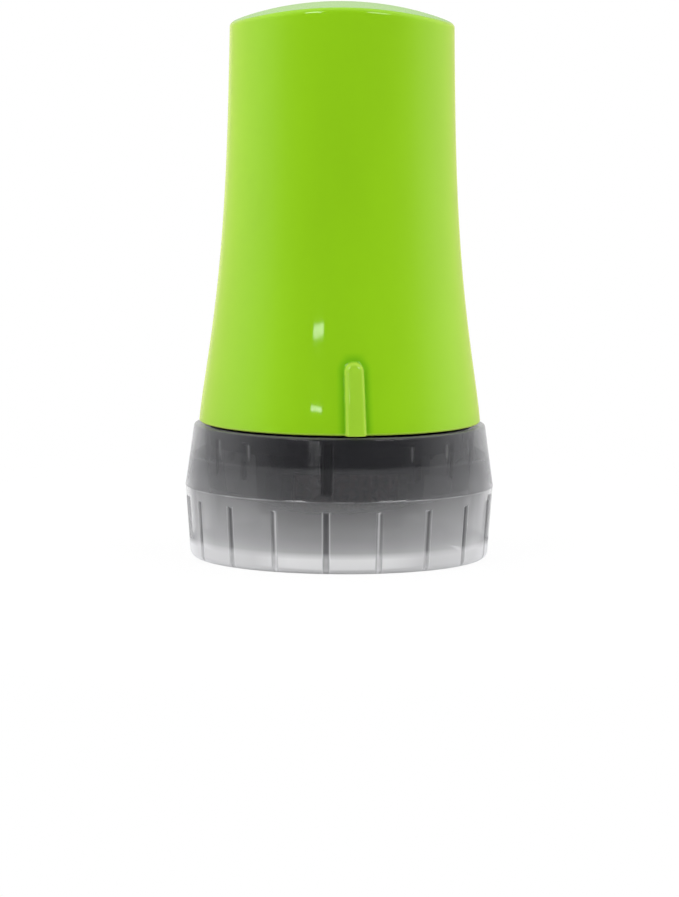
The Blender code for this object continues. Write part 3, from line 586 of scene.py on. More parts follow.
def case_inside(case, angles):
    """Points of the bell's inner side, from the middle of the ceiling down to the mouth, with the guides."""
    foot_slope, head_slope, side_slope = 0.15 * MM, 0.2 * MM, 0.12 * MM
    top = CASE_HIGH - case.wall
    rim = top - case.crown_fillet
    corner = float(case_radius(case, rim)) - case.wall - case.crown_fillet
    places = (
        rim, case.guide_high + head_slope, case.guide_high,
        case.guide_low, case.guide_low - foot_slope, CASE_LOW + 0.2 * MM,
    )
    heights = stations(places, (11, 1, 15, 1, 7))[1:]
    rows = np.vstack([
        line_rows((0.0, top), (corner, top), 12),
        arc_rows((corner, rim), case.crown_fillet, 90.0, 0.0, 6),
        profile_rows(case_radius(case, heights) - case.wall, heights),
    ])
    radius, height = turned_grid(rows, angles)
    near = (angles + QUARTER / 2) % QUARTER - QUARTER / 2
    side = within(case.guide_width / 2, radius * near, side_slope)
    run = smoothstep((height - case.guide_low) / foot_slope)
    run = run * smoothstep((case.guide_high - height) / head_slope)
    radius = radius - np.maximum(0.0, radius - case.guide_reach) * side * run
    return arched(case, points_from(radius, height, angles), top)


def build_case(case, material):
    """The bell as one closed skin: inner ceiling, bore, mouth edge, flared wall with its rib, crown. Its
    marks say where a highlight is painted on the rib's face and along the mouth's lower edge, where shade is
    painted on the wall beside the rib, and which part is roof."""
    # Shares of the painted highlight on the rib's face, its rounded edges and the mouth's lower edge
    face, face_edge, lip_highlight = 0.42, 0.08, 0.55
    rib_sector, far = 0.3, 1.0
    shade_gap, shade_width = 0.2 * MM, 1.0 * MM
    angles = case_angles()
    inner = case_inside(case, angles)
    edge = case.mouth_fillet
    rim = CASE_HIGH - case.crown_fillet
    rib_top = CASE_LOW + case.rib_length
    heights = stations((CASE_LOW + 0.3 * MM, rib_top - 2.0 * MM, rib_top + 0.4 * MM, rim), (26, 25, 55))
    corner = float(case_radius(case, rim)) - case.crown_fillet
    lip = arc_rows((case.mouth_radius - edge, CASE_LOW + edge), edge, 270.0, 360.0, 5)
    radius, height, zone = zoned(angles, {
        "inner lip": arc_rows((case.mouth_radius - case.wall + edge, CASE_LOW + edge), edge, 180.0, 270.0, 4),
        "mouth": lip[:1],
        "lip": lip[1:],
        "wall": profile_rows(case_radius(case, heights), heights),
        "fillet": arc_rows((corner, rim), case.crown_fillet, 0.0, 90.0, 9)[1:],
        "crown": line_rows((corner, CASE_HIGH), (0.0, CASE_HIGH), 22),
    })
    aside = angles - FRONT
    relief, depth = rib_relief(case, np.where(np.abs(aside) < rib_sector, radius * aside, far), height)
    on_wall = (zone != "inner lip") & (height < rib_top + 1.4 * MM)
    outer = arched(case, points_from(radius + relief * on_wall, height, angles), CASE_HIGH)

    on_rib = (depth > 0.0) & on_wall
    pale = np.where(on_rib, face + face_edge * hump(depth, 0.16 * MM, 0.13 * MM), 0.0)
    fillet_rows = np.count_nonzero(zone == "fillet")
    row = np.arange(len(zone))[:, None]
    # Marks: a painted highlight on the rib and along the mouth's lower edge, painted shade on the wall beside
    # the rib, and the roof's share
    marks = {
        "pale": np.maximum(pale, lip_highlight * (zone == "lip")),
        "deep": np.where(on_wall & ~on_rib, 1.0 - smoothstep((-depth - shade_gap) / shade_width), 0.0),
        "roof": np.broadcast_to(smoothstep((row - np.argmax(zone == "fillet")) / fillet_rows), radius.shape),
    }
    blank = np.zeros(inner.shape[:2])
    marks = {name: np.vstack([blank, values]) for name, values in marks.items()}
    return skin("case_bell", np.vstack([inner, outer]), material, 50.0, marks=marks)


def cap_angles(cap):
    """Angles round the cap, close together at the grooves, and each one's angle from the nearest groove.
    The grooves stand half a pitch off the front."""
    near, far = 0.040, 0.052
    pitch = TURN / cap.grooves
    sector = np.concatenate([np.linspace(-near, near, 21), np.linspace(far, pitch - far, 11)])
    starts = FRONT + cap.groove_turn + pitch * (np.arange(cap.grooves) + 0.5)
    local = np.where(sector > pitch / 2, sector - pitch, sector)
    return (starts[:, None] + sector).reshape(-1), np.tile(local, cap.grooves)


def holding_ribs(cap, angles, local, radius, height):
    """How far a holding rib stands in at each point, from 0 to 1, its painted shade, a painted highlight
    beside it, and whether the point belongs to the rib left of the front. That rib is wider and longer. Its
    two neighbours, and the one after it on the left, carry no painted shade or highlight."""
    wider, longer = 1.6, 1.2 * MM
    right_edge, left_edge, fade = 0.38, -0.62, 0.1
    side_slope, end_slope = 0.1 * MM, 0.5 * MM
    turn = wrapped(angles - FRONT)
    half_pitch = math.pi / cap.grooves
    key = np.abs(turn + half_pitch) < half_pitch
    half = np.where(key, wider, 1.0) * cap.rib_width / 2
    extra = np.where(key, longer, 0.0)
    aside = local * radius
    stand = within(half, aside, side_slope)
    run = smoothstep((height - cap.rib_low + extra) / end_slope)
    run = run * smoothstep((cap.rib_high + 0.6 * extra - height) / end_slope)
    lower = smoothstep(((cap.rib_low + cap.rib_high) / 2 + 0.8 * MM - height) / (1.0 * MM))
    shown = smoothstep((turn - right_edge) / fade) + smoothstep((left_edge - turn) / fade)
    shadow = within(1.25 * half, aside, side_slope) * shown * (0.25 + 0.75 * lower)
    # A painted highlight beside the rib
    bright = hump(-aside * np.sign(turn), 0.92 * MM, 0.2 * MM) * run * (1.0 - lower) * shown
    return stand * run, run * np.where(key, stand, shadow), bright, key


def groove_marks(cap, angles, across, end):
    """Painted shade and painted highlights of the grip grooves, from the distance to a groove's middle as a
    share of half its width. A groove is painted dark with lit brims, or pale with a lit middle, as its shade
    says."""
    each = len(angles) // cap.grooves
    shade = np.repeat(np.resize(GROOVE_SHADES, cap.grooves), each)
    felt = [FAINT_GROOVES.get(number, 1.0) for number in range(cap.grooves)]
    felt = np.repeat(felt, each) * (end > 0.02)
    core = smoothstep((1.02 - across) / 0.22) * felt
    brim = hump(across, 1.04, 0.17) * felt
    gleam = hump(across, 0.0, 0.34) * felt
    cut = core * shade + 0.45 * (core - gleam) * (1.0 - shade)
    return cut, 0.7 * brim * shade + 1.2 * gleam * (1.0 - shade)


def cap_outside(cap, angles, local):
    """Points of the cap's outer side, from the middle of the foot up to the lip, and their marks. The parting
    line's flash wanders as a sum of two sines, with a rougher spot right of the front."""
    rough_turn, rough_width, rough = 0.36, 0.07, 0.9
    # Strengths of the painted highlight on the parting line and of the key holding rib's painted shade on the
    # skirt
    seam_mark, rib_mark = 0.42, 0.8
    corner = cap.base_radius - cap.base_fillet
    foot = corner - cap.foot_width
    hollow = (foot - cap.foot_height, cap.foot_height)
    widest, seam, lip = cap.widest_radius, cap.parting, cap.lip_fillet
    head = cap.groove_top
    places = (
        cap.base_fillet + 0.2 * MM, head - 0.7 * MM, head - 0.6 * MM,
        head + 0.15 * MM, head + 0.35 * MM, seam - 0.16 * MM,
    )
    heights = stations(places, (13, 1, 9, 1, 4))
    rise = (heights - cap.base_fillet) / (seam - cap.base_fillet)
    radius, height, zone = zoned(angles, {
        "foot": np.vstack([
            line_rows((0.0, cap.foot_height), hollow, 7),
            [hollow, (foot - 0.08 * MM, 0.06 * MM), (foot + 0.05 * MM, 0.0)],
            line_rows((foot, 0.0), (corner, 0.0), 2),
        ]),
        "fillet": arc_rows((corner, cap.base_fillet), cap.base_fillet, 270.0, 360.0, 9),
        "band": profile_rows(cap.base_radius + (widest - cap.base_radius) * rise, heights),
        "under seam": [(widest - 0.02 * MM, seam - 0.09 * MM)],
        "seam": [(widest, seam - 0.035 * MM), (widest, seam + 0.035 * MM)],
        "over seam": [(widest - 0.03 * MM, seam + 0.1 * MM)],
        "skirt": line_rows((widest, seam), (cap.mouth_radius, CAP_TOP - lip), 22),
        "lip": arc_rows((cap.mouth_radius - lip, CAP_TOP - lip), lip, 0.0, 90.0, 6),
        "rim": [(cap.bore_radius + 0.15 * MM, CAP_TOP), (cap.bore_radius + 0.04 * MM, CAP_TOP - 0.04 * MM)],
    })
    half = cap.groove_width / 2
    across = np.abs(local) * radius / half
    end = np.sqrt(1.0 - unit((height - head) / half + 1.0) ** 2)
    depth = half * np.sqrt(unit(1.0 - across**2)) * end * unit(height / cap.base_fillet)
    wander = 0.5 + 0.28 * np.sin(5.0 * angles + 0.6) + 0.22 * np.sin(23.0 * angles + 1.9)
    wander = wander + rough * hump(angles, FRONT + rough_turn, rough_width) * np.sin(90.0 * angles) ** 2
    on_band = np.isin(zone, ("fillet", "band"))
    on_seam = zone == "seam"
    cut, edge = groove_marks(cap, angles, across, end)
    _, dark, _, key = holding_ribs(cap, angles, local, radius, height)
    points = points_from(radius - depth * on_band + cap.flash * wander * on_seam, height, angles)
    # Painted shade in the grooves and along the key holding rib, and painted highlights on the groove brims
    # and the parting line
    return points, {
        "cut": cut * on_band,
        "edge": edge * on_band + seam_mark * on_seam * np.clip(wander, 0.0, 1.8),
        "rib": rib_mark * dark * ((zone == "skirt") & key),
    }


def cap_inside(cap, angles, local):
    """Points of the cap's inner side, from the lip down to the middle of the floor, and their marks."""
    corner = (cap.floor_radius - cap.floor_fillet, cap.floor + cap.floor_fillet)
    slope = (cap.bore_radius - cap.floor_radius) / (CAP_TOP - corner[1])
    low, high = cap.rib_low, cap.rib_high
    places = (
        CAP_TOP - 0.25 * MM, high + 0.15 * MM, high, high - 0.5 * MM, high - 0.9 * MM,
        low + 0.9 * MM, low + 0.5 * MM, low, low - 0.2 * MM, corner[1] + 0.3 * MM,
    )
    heights = stations(places, (3, 1, 5, 1, 7, 1, 5, 1, 11))
    radius, height, zone = zoned(angles, {
        "bore": profile_rows(cap.bore_radius - slope * (CAP_TOP - heights), heights),
        "fillet": arc_rows(corner, cap.floor_fillet, 360.0, 270.0, 8),
        "floor": line_rows((corner[0], cap.floor), (0.0, cap.floor), 9),
    })
    stand, dark, bright, _ = holding_ribs(cap, angles, local, radius, height)
    on_bore = zone == "bore"
    points = points_from(radius - cap.rib_height * stand * on_bore, height, angles)
    # The bore's marks are the holding ribs' painted shade and the painted highlight beside them
    return points, {"cut": np.zeros_like(radius), "edge": bright * on_bore, "rib": dark * on_bore}


def build_cap(cap, material):
    """The cap as one closed skin: foot, grooved band, parting line, skirt, lip, bore with ribs, floor."""
    angles, local = cap_angles(cap)
    outer, outer_marks = cap_outside(cap, angles, local)
    inner, inner_marks = cap_inside(cap, angles, local)
    marks = {name: np.vstack([outer_marks[name], inner_marks[name]]) for name in outer_marks}
    return skin("cap_cup", np.vstack([outer, inner]), material, 55.0, marks=marks)


def mark_pattern(wheel, round_share, across_share):
    """Raised strokes in cells of a grid: a fixed mixture of bars, slants, rings and angles, 1 on a stroke.
    The cell in column i and line j takes the kind that the fraction of 43758.5453 sin(12.9898 i + 78.233 j)
    picks."""
    pen, ring, offset, diagonal = 0.115, 0.25, 0.22, 0.7071
    cell_half, soft = 0.38, 0.09
    column = round_share * wheel.cells_round
    line = across_share * wheel.cells_across
    u = np.mod(column, 1.0) - 0.5
    v = np.mod(line, 1.0) - 0.5
    kinds = [
        np.abs(u),
        np.abs(v),
        np.abs(u - v) * diagonal,
        np.abs(u + v) * diagonal,
        np.abs(np.hypot(u, v) - ring),
        np.minimum(np.abs(u + offset), np.abs(v - offset)),
    ]
    mixed = np.sin(np.floor(column) * 12.9898 + np.floor(line) * 78.233) * 43758.5453
    pick = np.floor(np.mod(mixed, 1.0) * len(kinds))
    stroke = np.select([pick == number for number in range(len(kinds))], kinds) - pen
    distance = np.maximum(stroke, np.maximum(np.abs(u), np.abs(v)) - cell_half)
    return smoothstep(0.5 - distance / soft)


def build_band(wheel, material):
    """The stamping band as a ring whose outer face carries raised strokes: r = ground + relief * pattern."""
    cell_steps, margin, corner, bevel = 11, 0.12 * MM, 0.1 * MM, 0.05 * MM
    angles = once_round(wheel.cells_round * cell_steps)
    low, high = BAND_LOW.x, BAND_HIGH.x
    inner = WHEEL_RADIUS - wheel.band
    ground = WHEEL_RADIUS - wheel.relief
    across = np.linspace(low + margin, high - margin, wheel.cells_across * cell_steps)
    radius, height, zone = zoned(angles, {
        "face": profile_rows(ground, across),
        "back": [
            (ground - corner, high), (inner + bevel, high), (inner, high - bevel),
            (inner, low + bevel), (inner + bevel, low), (ground - corner, low),
        ],
    })
    across_share = np.clip((height - low) / (high - low), 0.0, 0.9999)
    round_share = np.broadcast_to(angles / TURN, radius.shape)
    raised = mark_pattern(wheel, round_share, across_share) * (zone == "face")
    points = on_axle(radius + wheel.relief * raised, height, angles, WHEEL_Z)
    return skin("stamp_band_relief", points, material, 60.0, looped=True, marks={"mark": raised})


def build_rim(wheel, node, material):
    """A drive rim: a ring whose outer radius steps between root and tip of rounded teeth."""
    tooth_steps, tooth_turn, root_share, flank_share = 14, 0.15, 0.45, 0.22
    low, high = (corner.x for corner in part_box(node))
    edge = wheel.rim_edge
    soft = 0.3 * edge
    angles = once_round(wheel.teeth * tooth_steps)
    wave = np.abs(np.mod(angles * wheel.teeth / TURN - tooth_turn, 1.0) - 0.5) * 2.0
    tooth = smoothstep((wave - root_share) / flank_share)
    outer = WHEEL_RADIUS - wheel.tooth_depth * (1.0 - tooth)
    bore = np.full(len(angles), wheel.rim_bore)
    rings = [
        (outer, low + edge), (outer, (low + high) / 2), (outer, high - edge),
        (outer - soft, high - soft), (outer - edge, high),
        (bore + edge, high), (bore, high - edge / 2), (bore, low + edge / 2), (bore + edge, low),
        (outer - edge, low), (outer - soft, low + soft),
    ]
    radius = np.stack([ring for ring, _ in rings])
    height = np.stack([np.full(len(angles), place) for _, place in rings])
    points = on_axle(radius, height, angles, WHEEL_Z)
    return skin(node + "_tyre", points, material, 50.0, looped=True)


def build_sleeve(wheel, material):
    """The foam sleeve as a ring with soft edges and a slightly uneven outer face."""
    low, high = SLEEVE_LOW.x, SLEEVE_HIGH.x
    inner = INK_CORE_RADIUS + wheel.sleeve_gap
    edge, inner_edge, bevel = wheel.sleeve_edge, 0.2 * MM, 0.1 * MM
    swell, sunk = 0.012 * MM, 0.03 * MM
    angles = once_round(160)
    rows = np.vstack([
        profile_rows(INK_RADIUS, np.linspace(low + edge, high - edge, 36)),
        arc_rows((INK_RADIUS - edge, high - edge), edge, 0.0, 90.0, 7)[1:],
        [(inner + inner_edge, high), (inner, high - bevel), (inner, low + bevel), (inner + inner_edge, low)],
        arc_rows((INK_RADIUS - edge, low + edge), edge, -90.0, 0.0, 7)[:-1],
    ])
    radius, height = turned_grid(rows, angles)
    waves = np.sin(31.0 * angles + height * 5200.0) + np.sin(17.0 * angles - height * 7900.0)
    radius = radius - np.where(radius > inner + 1.0 * MM, sunk + swell * waves, 0.0)
    return skin("ink_foam", on_axle(radius, height, angles, INK_Z), material, 60.0, looped=True)


def build_spring(wheel, node, material):
    """A coil of round wire: a circle carried along x = R cos a, y = R sin a, z = low + (high - low) s, where
    s = u - 0.3 sin(2 pi u) / (2 pi), so the turns close up towards both ends."""
    low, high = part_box(node)
    centre = math.copysign(wheel.coil_spread / 2, low.x + high.x)
    share_along = np.linspace(0.0, 1.0, 260)
    winding = TURN * wheel.coil_turns * share_along
    eased = share_along - 0.3 * np.sin(TURN * share_along) / TURN
    half = wheel.wire / 2
    bottom, top = low.z + half, high.z - half
    path = np.stack([
        centre + wheel.coil_radius * np.cos(winding),
        wheel.coil_radius * np.sin(winding),
        bottom + (top - bottom) * eased,
    ], axis=1)
    ahead = np.gradient(path, axis=0)
    ahead /= np.linalg.norm(ahead, axis=1)[:, None]
    out = np.stack([np.cos(winding), np.sin(winding), np.zeros_like(winding)], axis=1)
    out -= ahead * np.sum(out * ahead, axis=1)[:, None]
    out /= np.linalg.norm(out, axis=1)[:, None]
    upward = np.cross(ahead, out)
    turn = once_round(14)[None, :, None]
    circle = out[:, None, :] * np.cos(turn) + upward[:, None, :] * np.sin(turn)
    return skin(node + "_coil", path[:, None, :] + half * circle, material, 60.0)


def lime_gloss(finishes):
    """Glossy lime plastic with the faint ripple and dust of a moulded skin. It glows softly at grazing
    angles, but not on the roof, which only mirrors its surroundings, more softly than the walls do."""
    made = Finish("lime gloss plastic")
    ripple = made.noise(160.0)
    specks = made.noise(5200.0, 1.0)
    flow = made.noise(70.0, 3.0, stretch=(1.0, 1.0, 0.35))
    tone = made.blend(flow.clamped(0.3, 0.7), scaled(finishes.lime, 0.95), scaled(finishes.lime, 1.05))
    # Painted shade on the wall beside the rib
    tone = made.blend(made.mark("deep") * 0.8, tone, finishes.lime_shade_beside_rib)
    # Painted highlight on the rib's face and along the mouth's lower edge
    tone = made.blend(made.mark("pale"), tone, finishes.lime_highlight)
    gloss = 0.022 + 0.016 * flow + 0.010 * specks
    relief = made.bump(ripple + 0.02 * specks, 0.012 * MM, 0.2)
    made.set(Base_Color=tone, Roughness=gloss, Normal=relief, IOR=1.49)
    made.set(Sheen_Weight=0.8, Sheen_Roughness=0.58, Sheen_Tint=finishes.lime_edge)
    roof = made.principled()
    made.set(Base_Color=tone, Roughness=gloss + 0.19, Normal=relief, IOR=1.49)
    made.show(made.mixed(made.mark("roof"), made.surface, roof))
    return made.material


def smoked_clear(finishes, cap):
    """Smoked see-through plastic, dark above the parting line. Its colour carries painted light that grows
    towards the foot, where the table's light shines up through it, lighter sides on the skirt and a painted
    reflection along the limbs, and painted shade and highlights along the grooves, the holding ribs and the
    parting line."""
    made = Finish("smoked clear plastic")
    height = made.add("ShaderNodeSeparateXYZ", None, {0: made.place})[2]
    cut, edge, rib = (made.mark(name) for name in ("cut", "edge", "rib"))
    flow = made.noise(110.0, 3.0, stretch=(1.0, 1.0, 0.4))
    scuff = made.noise(900.0, stretch=(1.0, 1.0, 3.0))

    # Zones by height for the painted light: the band below the parting line, the floor, the skirt up to the
    # collar and its line
    below = 1.0 - height.clamped(cap.parting - 0.02 * MM, cap.parting + 0.02 * MM)
    down_to_floor = 1.0 - height.clamped(cap.floor + 0.4 * MM, cap.parting)
    foot = 1.0 - height.clamped(cap.floor - 0.5 * MM, cap.floor + 0.35 * MM)
    pool = 1.0 - height.clamped(cap.floor, cap.floor + 2.2 * MM)
    rise = 1.0 - height.clamped(cap.parting, cap.collar - 0.3 * MM)
    over = height.clamped(cap.collar, cap.collar + 0.2 * MM)
    under_collar = 1.0 - over
    seam = over * (1.0 - height.clamped(cap.collar + 0.25 * MM, cap.collar + 0.45 * MM))

    # Zones by how far the wall turns away from the eye, for painted light at the sides and limbs and for the
    # cover
    facing = made.add("ShaderNodeLayerWeight", None, {"Blend": 0.5})["Facing"]
    side = facing.clamped(0.08, 0.4)
    veil = facing.clamped(0.08, 0.2)
    flank = facing.clamped(0.0, 0.15)
    rim = facing.clamped(0.60, 0.85)
    thick = facing.clamped(0.46, 0.56) * (1.0 - facing.clamped(0.60, 0.70))
    thin = facing.clamped(0.68, 0.82)

    # Painted light: the table's light shining up through the lower band, strongest near the floor, lighter
    # sides of the skirt, and a lighter line at the collar
    painted_light_share = below * (0.17 + 0.35 * down_to_floor + 0.27 * pool * pool + 0.03 * side + 0.045 * flank)
    skirt = under_collar * (0.06 + 0.05 * rise * flank - 0.015 * veil) + (1.0 - under_collar) * 0.055 * side
    painted_light_share = painted_light_share + (1.0 - below) * skirt + 0.05 * seam
    tone = made.blend(painted_light_share, finishes.smoke, finishes.painted_light)
    # Painted light shining up through the thick floor and foot, darker where the wall turns away
    tone = made.blend(foot, tone, made.blend(veil, finishes.foot, finishes.foot_shade))
    # Painted reflection along the limbs
    tone = made.blend(rim * (0.05 + 0.8 * below), tone, finishes.painted_light)
    # Painted shade in the grooves
    tone = made.blend(cut * 0.7 * (1.0 - foot * 0.6) * (1.0 - 0.9 * rim), tone, finishes.groove)
    # Painted shade of the holding ribs
    tone = made.blend(rib * 0.95, tone, finishes.rib)
    # Painted highlights on the groove brims, the parting line and beside the holding ribs
    tone = made.blend(edge * 0.7, tone, finishes.glint)
    cover = finishes.smoke_cover + foot * 0.4 + cut * 0.2 + edge * 0.2 + rib * 0.35
    cover = cover + 0.05 * (flow - 0.5) + 0.13 * thick - thin * (0.08 + 0.2 * below) * (1.0 - foot)
    cover = cover + 0.12 * veil * under_collar * (1.0 - below)
    return made.set(
        Base_Color=tone,
        Alpha=made.held(cover),
        Roughness=0.06 + 0.05 * scuff + 0.10 * below * down_to_floor,
        Normal=made.bump(flow + 0.05 * scuff, 0.015 * MM, 0.3),
        Sheen_Weight=0.5,
        Sheen_Roughness=0.5,
        Sheen_Tint=(0.95, 0.95, 1.0),
        IOR=1.5,
    )


def moulded(name, tone):
    """Fine-grained matt plastic: a spark-eroded grain, slight flow marks and paler worn high spots."""
    made = Finish(name)
    grit = made.noise(7000.0, 3.0, 0.65)
    flow = made.noise(220.0, 3.0)
    worn = (0.8 * flow + 0.2 * grit).clamped(0.3, 0.7)
    return made.set(
        Base_Color=made.blend(worn, scaled(tone, 0.85), scaled(tone, 1.25, 0.002)),
        Roughness=0.42 + 0.12 * grit,
        Normal=made.bump(grit, 0.006 * MM, 0.12),
        IOR=1.5,
    )


def waxy_white(finishes):
    """Self-lubricating white plastic, waxy, with faint sprue blush and a trace of ink dust."""
    made = Finish("white acetal")
    cloud = made.noise(380.0, 3.0)
    dust = made.noise(2600.0, 3.0, 0.7).clamped(0.62, 0.78)
    tone = made.blend(cloud.clamped(0.3, 0.7), scaled(finishes.acetal, 0.94), finishes.acetal)
    return made.set(
        Base_Color=made.blend(dust * 0.35, tone, finishes.ink_dust),
        Roughness=0.34 + 0.12 * cloud,
        Normal=made.bump(cloud, 0.01 * MM, 0.4),
        Subsurface_Weight=0.08,
        IOR=1.48,
    )


def stamp_rubber(finishes):
    """Brick-red rubber whose raised marks are wet with black ink."""
    made = Finish("stamping rubber")
    stain = made.noise(700.0, 4.0, 0.6)
    grit = made.noise(6000.0)
    inked = made.held(made.mark("mark").clamped(0.35, 0.8) + stain.clamped(0.52, 0.72) * 0.55)
    return made.set(
        Base_Color=made.blend(inked, finishes.band, finishes.ink),
        Roughness=0.62 - 0.34 * inked + 0.1 * grit,
        Normal=made.bump(grit, 0.012 * MM, 0.7),
        IOR=1.5,
    )


def tyre_rubber(finishes):
    """Matt black rubber with dusty, paler high spots."""
    made = Finish("tyre rubber")
    grit = made.noise(5200.0, 4.0, 0.7)
    wear = made.noise(900.0, 3.0).clamped(0.45, 0.75)
    return made.set(
        Base_Color=made.blend(wear * 0.6, finishes.tyre, scaled(finishes.tyre, 1.9, 0.01)),
        Roughness=0.74 + 0.14 * grit,
        Normal=made.bump(grit, 0.02 * MM, 0.8),
    )


def inked_foam(finishes):
    """Open-cell foam soaked with black ink: wet cells and dull struts."""
    made = Finish("inked foam")
    cells = made.add("ShaderNodeTexVoronoi", None, {"Vector": made.place, "Scale": 3600.0})[0]
    grit = made.noise(4200.0, 3.0)
    pore = (1.0 - cells).clamped(0.25, 0.95)
    return made.set(
        Base_Color=made.blend(pore * 0.7, finishes.ink, finishes.dry_foam),
        Roughness=0.3 + 0.35 * pore + 0.1 * grit,
        Normal=made.bump(pore, 0.06 * MM, 0.9),
    )


def drawn_steel(finishes, name, stretch):
    """Bright steel with drawing lines that run along the piece."""
    made = Finish(name)
    lines = made.noise(6000.0, stretch=stretch)
    smear = made.noise(900.0, 3.0).clamped(0.35, 0.7)
    return made.set(
        Base_Color=made.blend(smear, finishes.steel, scaled(finishes.steel, 0.82)),
        Metallic=1.0,
        Roughness=0.2 + 0.14 * lines,
        Normal=made.bump(lines, 0.004 * MM, 0.5),
    )


def dress(nodes, material, width):
    """Gives CAD nodes a material and welded, slightly rounded edges of a width in millimetres."""
    weld_reach, flat_turn, sharp_turn = 0.002 * MM, math.radians(1.0), math.radians(38.0)
    for name in nodes:
        node = frame["nodes"][name]
        node.data.materials.clear()
        node.data.materials.append(material)
        weld = node.modifiers.new("weld", "WELD")
        weld.merge_threshold = weld_reach
        flat = node.modifiers.new("flat", "DECIMATE")
        flat.decimate_type = "DISSOLVE"
        flat.angle_limit = flat_turn
        bevel = node.modifiers.new("edges", "BEVEL")
        bevel.width = width * MM
        bevel.segments = 2
        bevel.limit_method = "ANGLE"
        bevel.angle_limit = sharp_turn
        bevel.use_clamp_overlap = True


class ROLLER_OT_case(bpy.types.Operator):
    """Builds the glossy bell with its rib and inner guides"""

    bl_idname = "roller_stamp.case"
    bl_label = "Case"

    def execute(self, context):
        scene = context.scene
        bell = build_case(scene.roller_case, lime_gloss(scene.roller_finishes))
        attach(bell, "case")
        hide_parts("case_shell")
        return {"FINISHED"}


class ROLLER_OT_cap(bpy.types.Operator):
    """Builds the smoked cap with its grip grooves and holding ribs"""

    bl_idname = "roller_stamp.cap"
    bl_label = "Cap"

    def execute(self, context):
        scene = context.scene
        cup = build_cap(scene.roller_cap, smoked_clear(scene.roller_finishes, scene.roller_cap))
        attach(cup, "cap")
        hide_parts("cap")
        return {"FINISHED"}


class ROLLER_OT_wheel(bpy.types.Operator):
    """Builds the stamping band and the two drive rims"""

    bl_idname = "roller_stamp.wheel"
    bl_label = "Stamping wheel"

    def execute(self, context):
        scene = context.scene
        band = build_band(scene.roller_wheel, stamp_rubber(scene.roller_finishes))
        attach(band, "stamp_wheel")
        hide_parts("stamp_band")
        rubber = tyre_rubber(scene.roller_finishes)
        for node in ("drive_rim_left", "drive_rim_right"):
            rim = build_rim(scene.roller_wheel, node, rubber)
            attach(rim, "stamp_wheel")
            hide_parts(node)
        return {"FINISHED"}


class ROLLER_OT_ink(bpy.types.Operator):
    """Builds the foam sleeve and the two springs that press the ink roller down"""

    bl_idname = "roller_stamp.ink"
    bl_label = "Ink roller and springs"

    def execute(self, context):
        scene = context.scene
        foam = build_sleeve(scene.roller_wheel, inked_foam(scene.roller_finishes))
        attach(foam, "ink_roller")
        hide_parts("ink_sleeve")
        steel = drawn_steel(scene.roller_finishes, "spring steel", (1.0, 1.0, 0.2))
        for node in ("ink_spring_left", "ink_spring_right"):
            coil = build_spring(scene.roller_wheel, node, steel)
            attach(coil, "cartridge")
            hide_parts(node)
            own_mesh(coil)
        return {"FINISHED"}


class ROLLER_OT_mouldings(bpy.types.Operator):
    """Finishes the moulded cartridge, the guide in the case, the yoke, the hub, bushes and discs"""

    bl_idname = "roller_stamp.mouldings"
    bl_label = "Mouldings"

    def execute(self, context):
        finishes = context.scene.roller_finishes
        black = moulded("black moulded plastic", finishes.black)
        dress(("cartridge_frame", "cartridge_cover"), black, 0.14)
        grey = moulded("grey moulded plastic", finishes.grey)
        dress(("chassis_socket", "ink_yoke"), grey, 0.12)
        white = waxy_white(finishes)
        dress(("wheel_hub",), white, 0.1)
        small = ("axle_bush_left", "axle_bush_right", "ink_core", "ink_disc_left", "ink_disc_right")
        dress(small, white, 0.08)
        return {"FINISHED"}


class ROLLER_OT_axles(bpy.types.Operator):
    """Finishes the two steel axles"""

    bl_idname = "roller_stamp.axles"
    bl_label = "Axles"

    def execute(self, context):
        steel = drawn_steel(context.scene.roller_finishes, "axle steel", (0.06, 1.0, 1.0))
        dress(("stamp_axle", "ink_axle"), steel, 0.15)
        return {"FINISHED"}


def area_light(name, place, size, power, seen_in_gloss=False):
    """A soft square lamp at a place, turned to the stamp's middle."""
    lamp = bpy.data.lights.new(name, "AREA")
    lamp.shape = "RECTANGLE"
    lamp.size, lamp.size_y = size
    lamp.energy = power
    made = linked(name, lamp)
    made.location = place
    made.rotation_euler = (Vector(AIM) - Vector(place)).to_track_quat("-Z", "Y").to_euler()
    made.visible_glossy = seen_in_gloss
    made.visible_camera = False
    made.visible_transmission = False


def around(turn, rise):
    """A place at a turn from the front and a rise above the stamp's middle, both in degrees."""
    turn, rise = math.radians(turn), math.radians(rise)
    flat = LAMP_REACH * math.cos(rise)
    return (flat * math.sin(turn), -flat * math.cos(turn), AIM[2] + LAMP_REACH * math.sin(rise))


def studio_lights(studio):
    """Two softboxes and a small window that the gloss mirrors, and lights at both sides and overhead."""
    front, side = studio.front_light, studio.side_light
    area_light("left softbox", around(-41.2, SOFTBOX_RISE), (0.285, 0.25), front, seen_in_gloss=True)
    area_light("right softbox", around(38.7, SOFTBOX_RISE), (0.4, 0.25), front, seen_in_gloss=True)
    area_light("window", around(-25.5, 8.42), (0.16, 0.010), studio.window_light, seen_in_gloss=True)
    area_light("left light", (-0.85, 0.05, 0.25), (0.7, 0.9), side)
    area_light("right light", (0.85, 0.05, 0.25), (0.7, 0.9), side)
    area_light("top light", (0.0, 0.1, 0.9), (0.9, 0.9), studio.top_light)


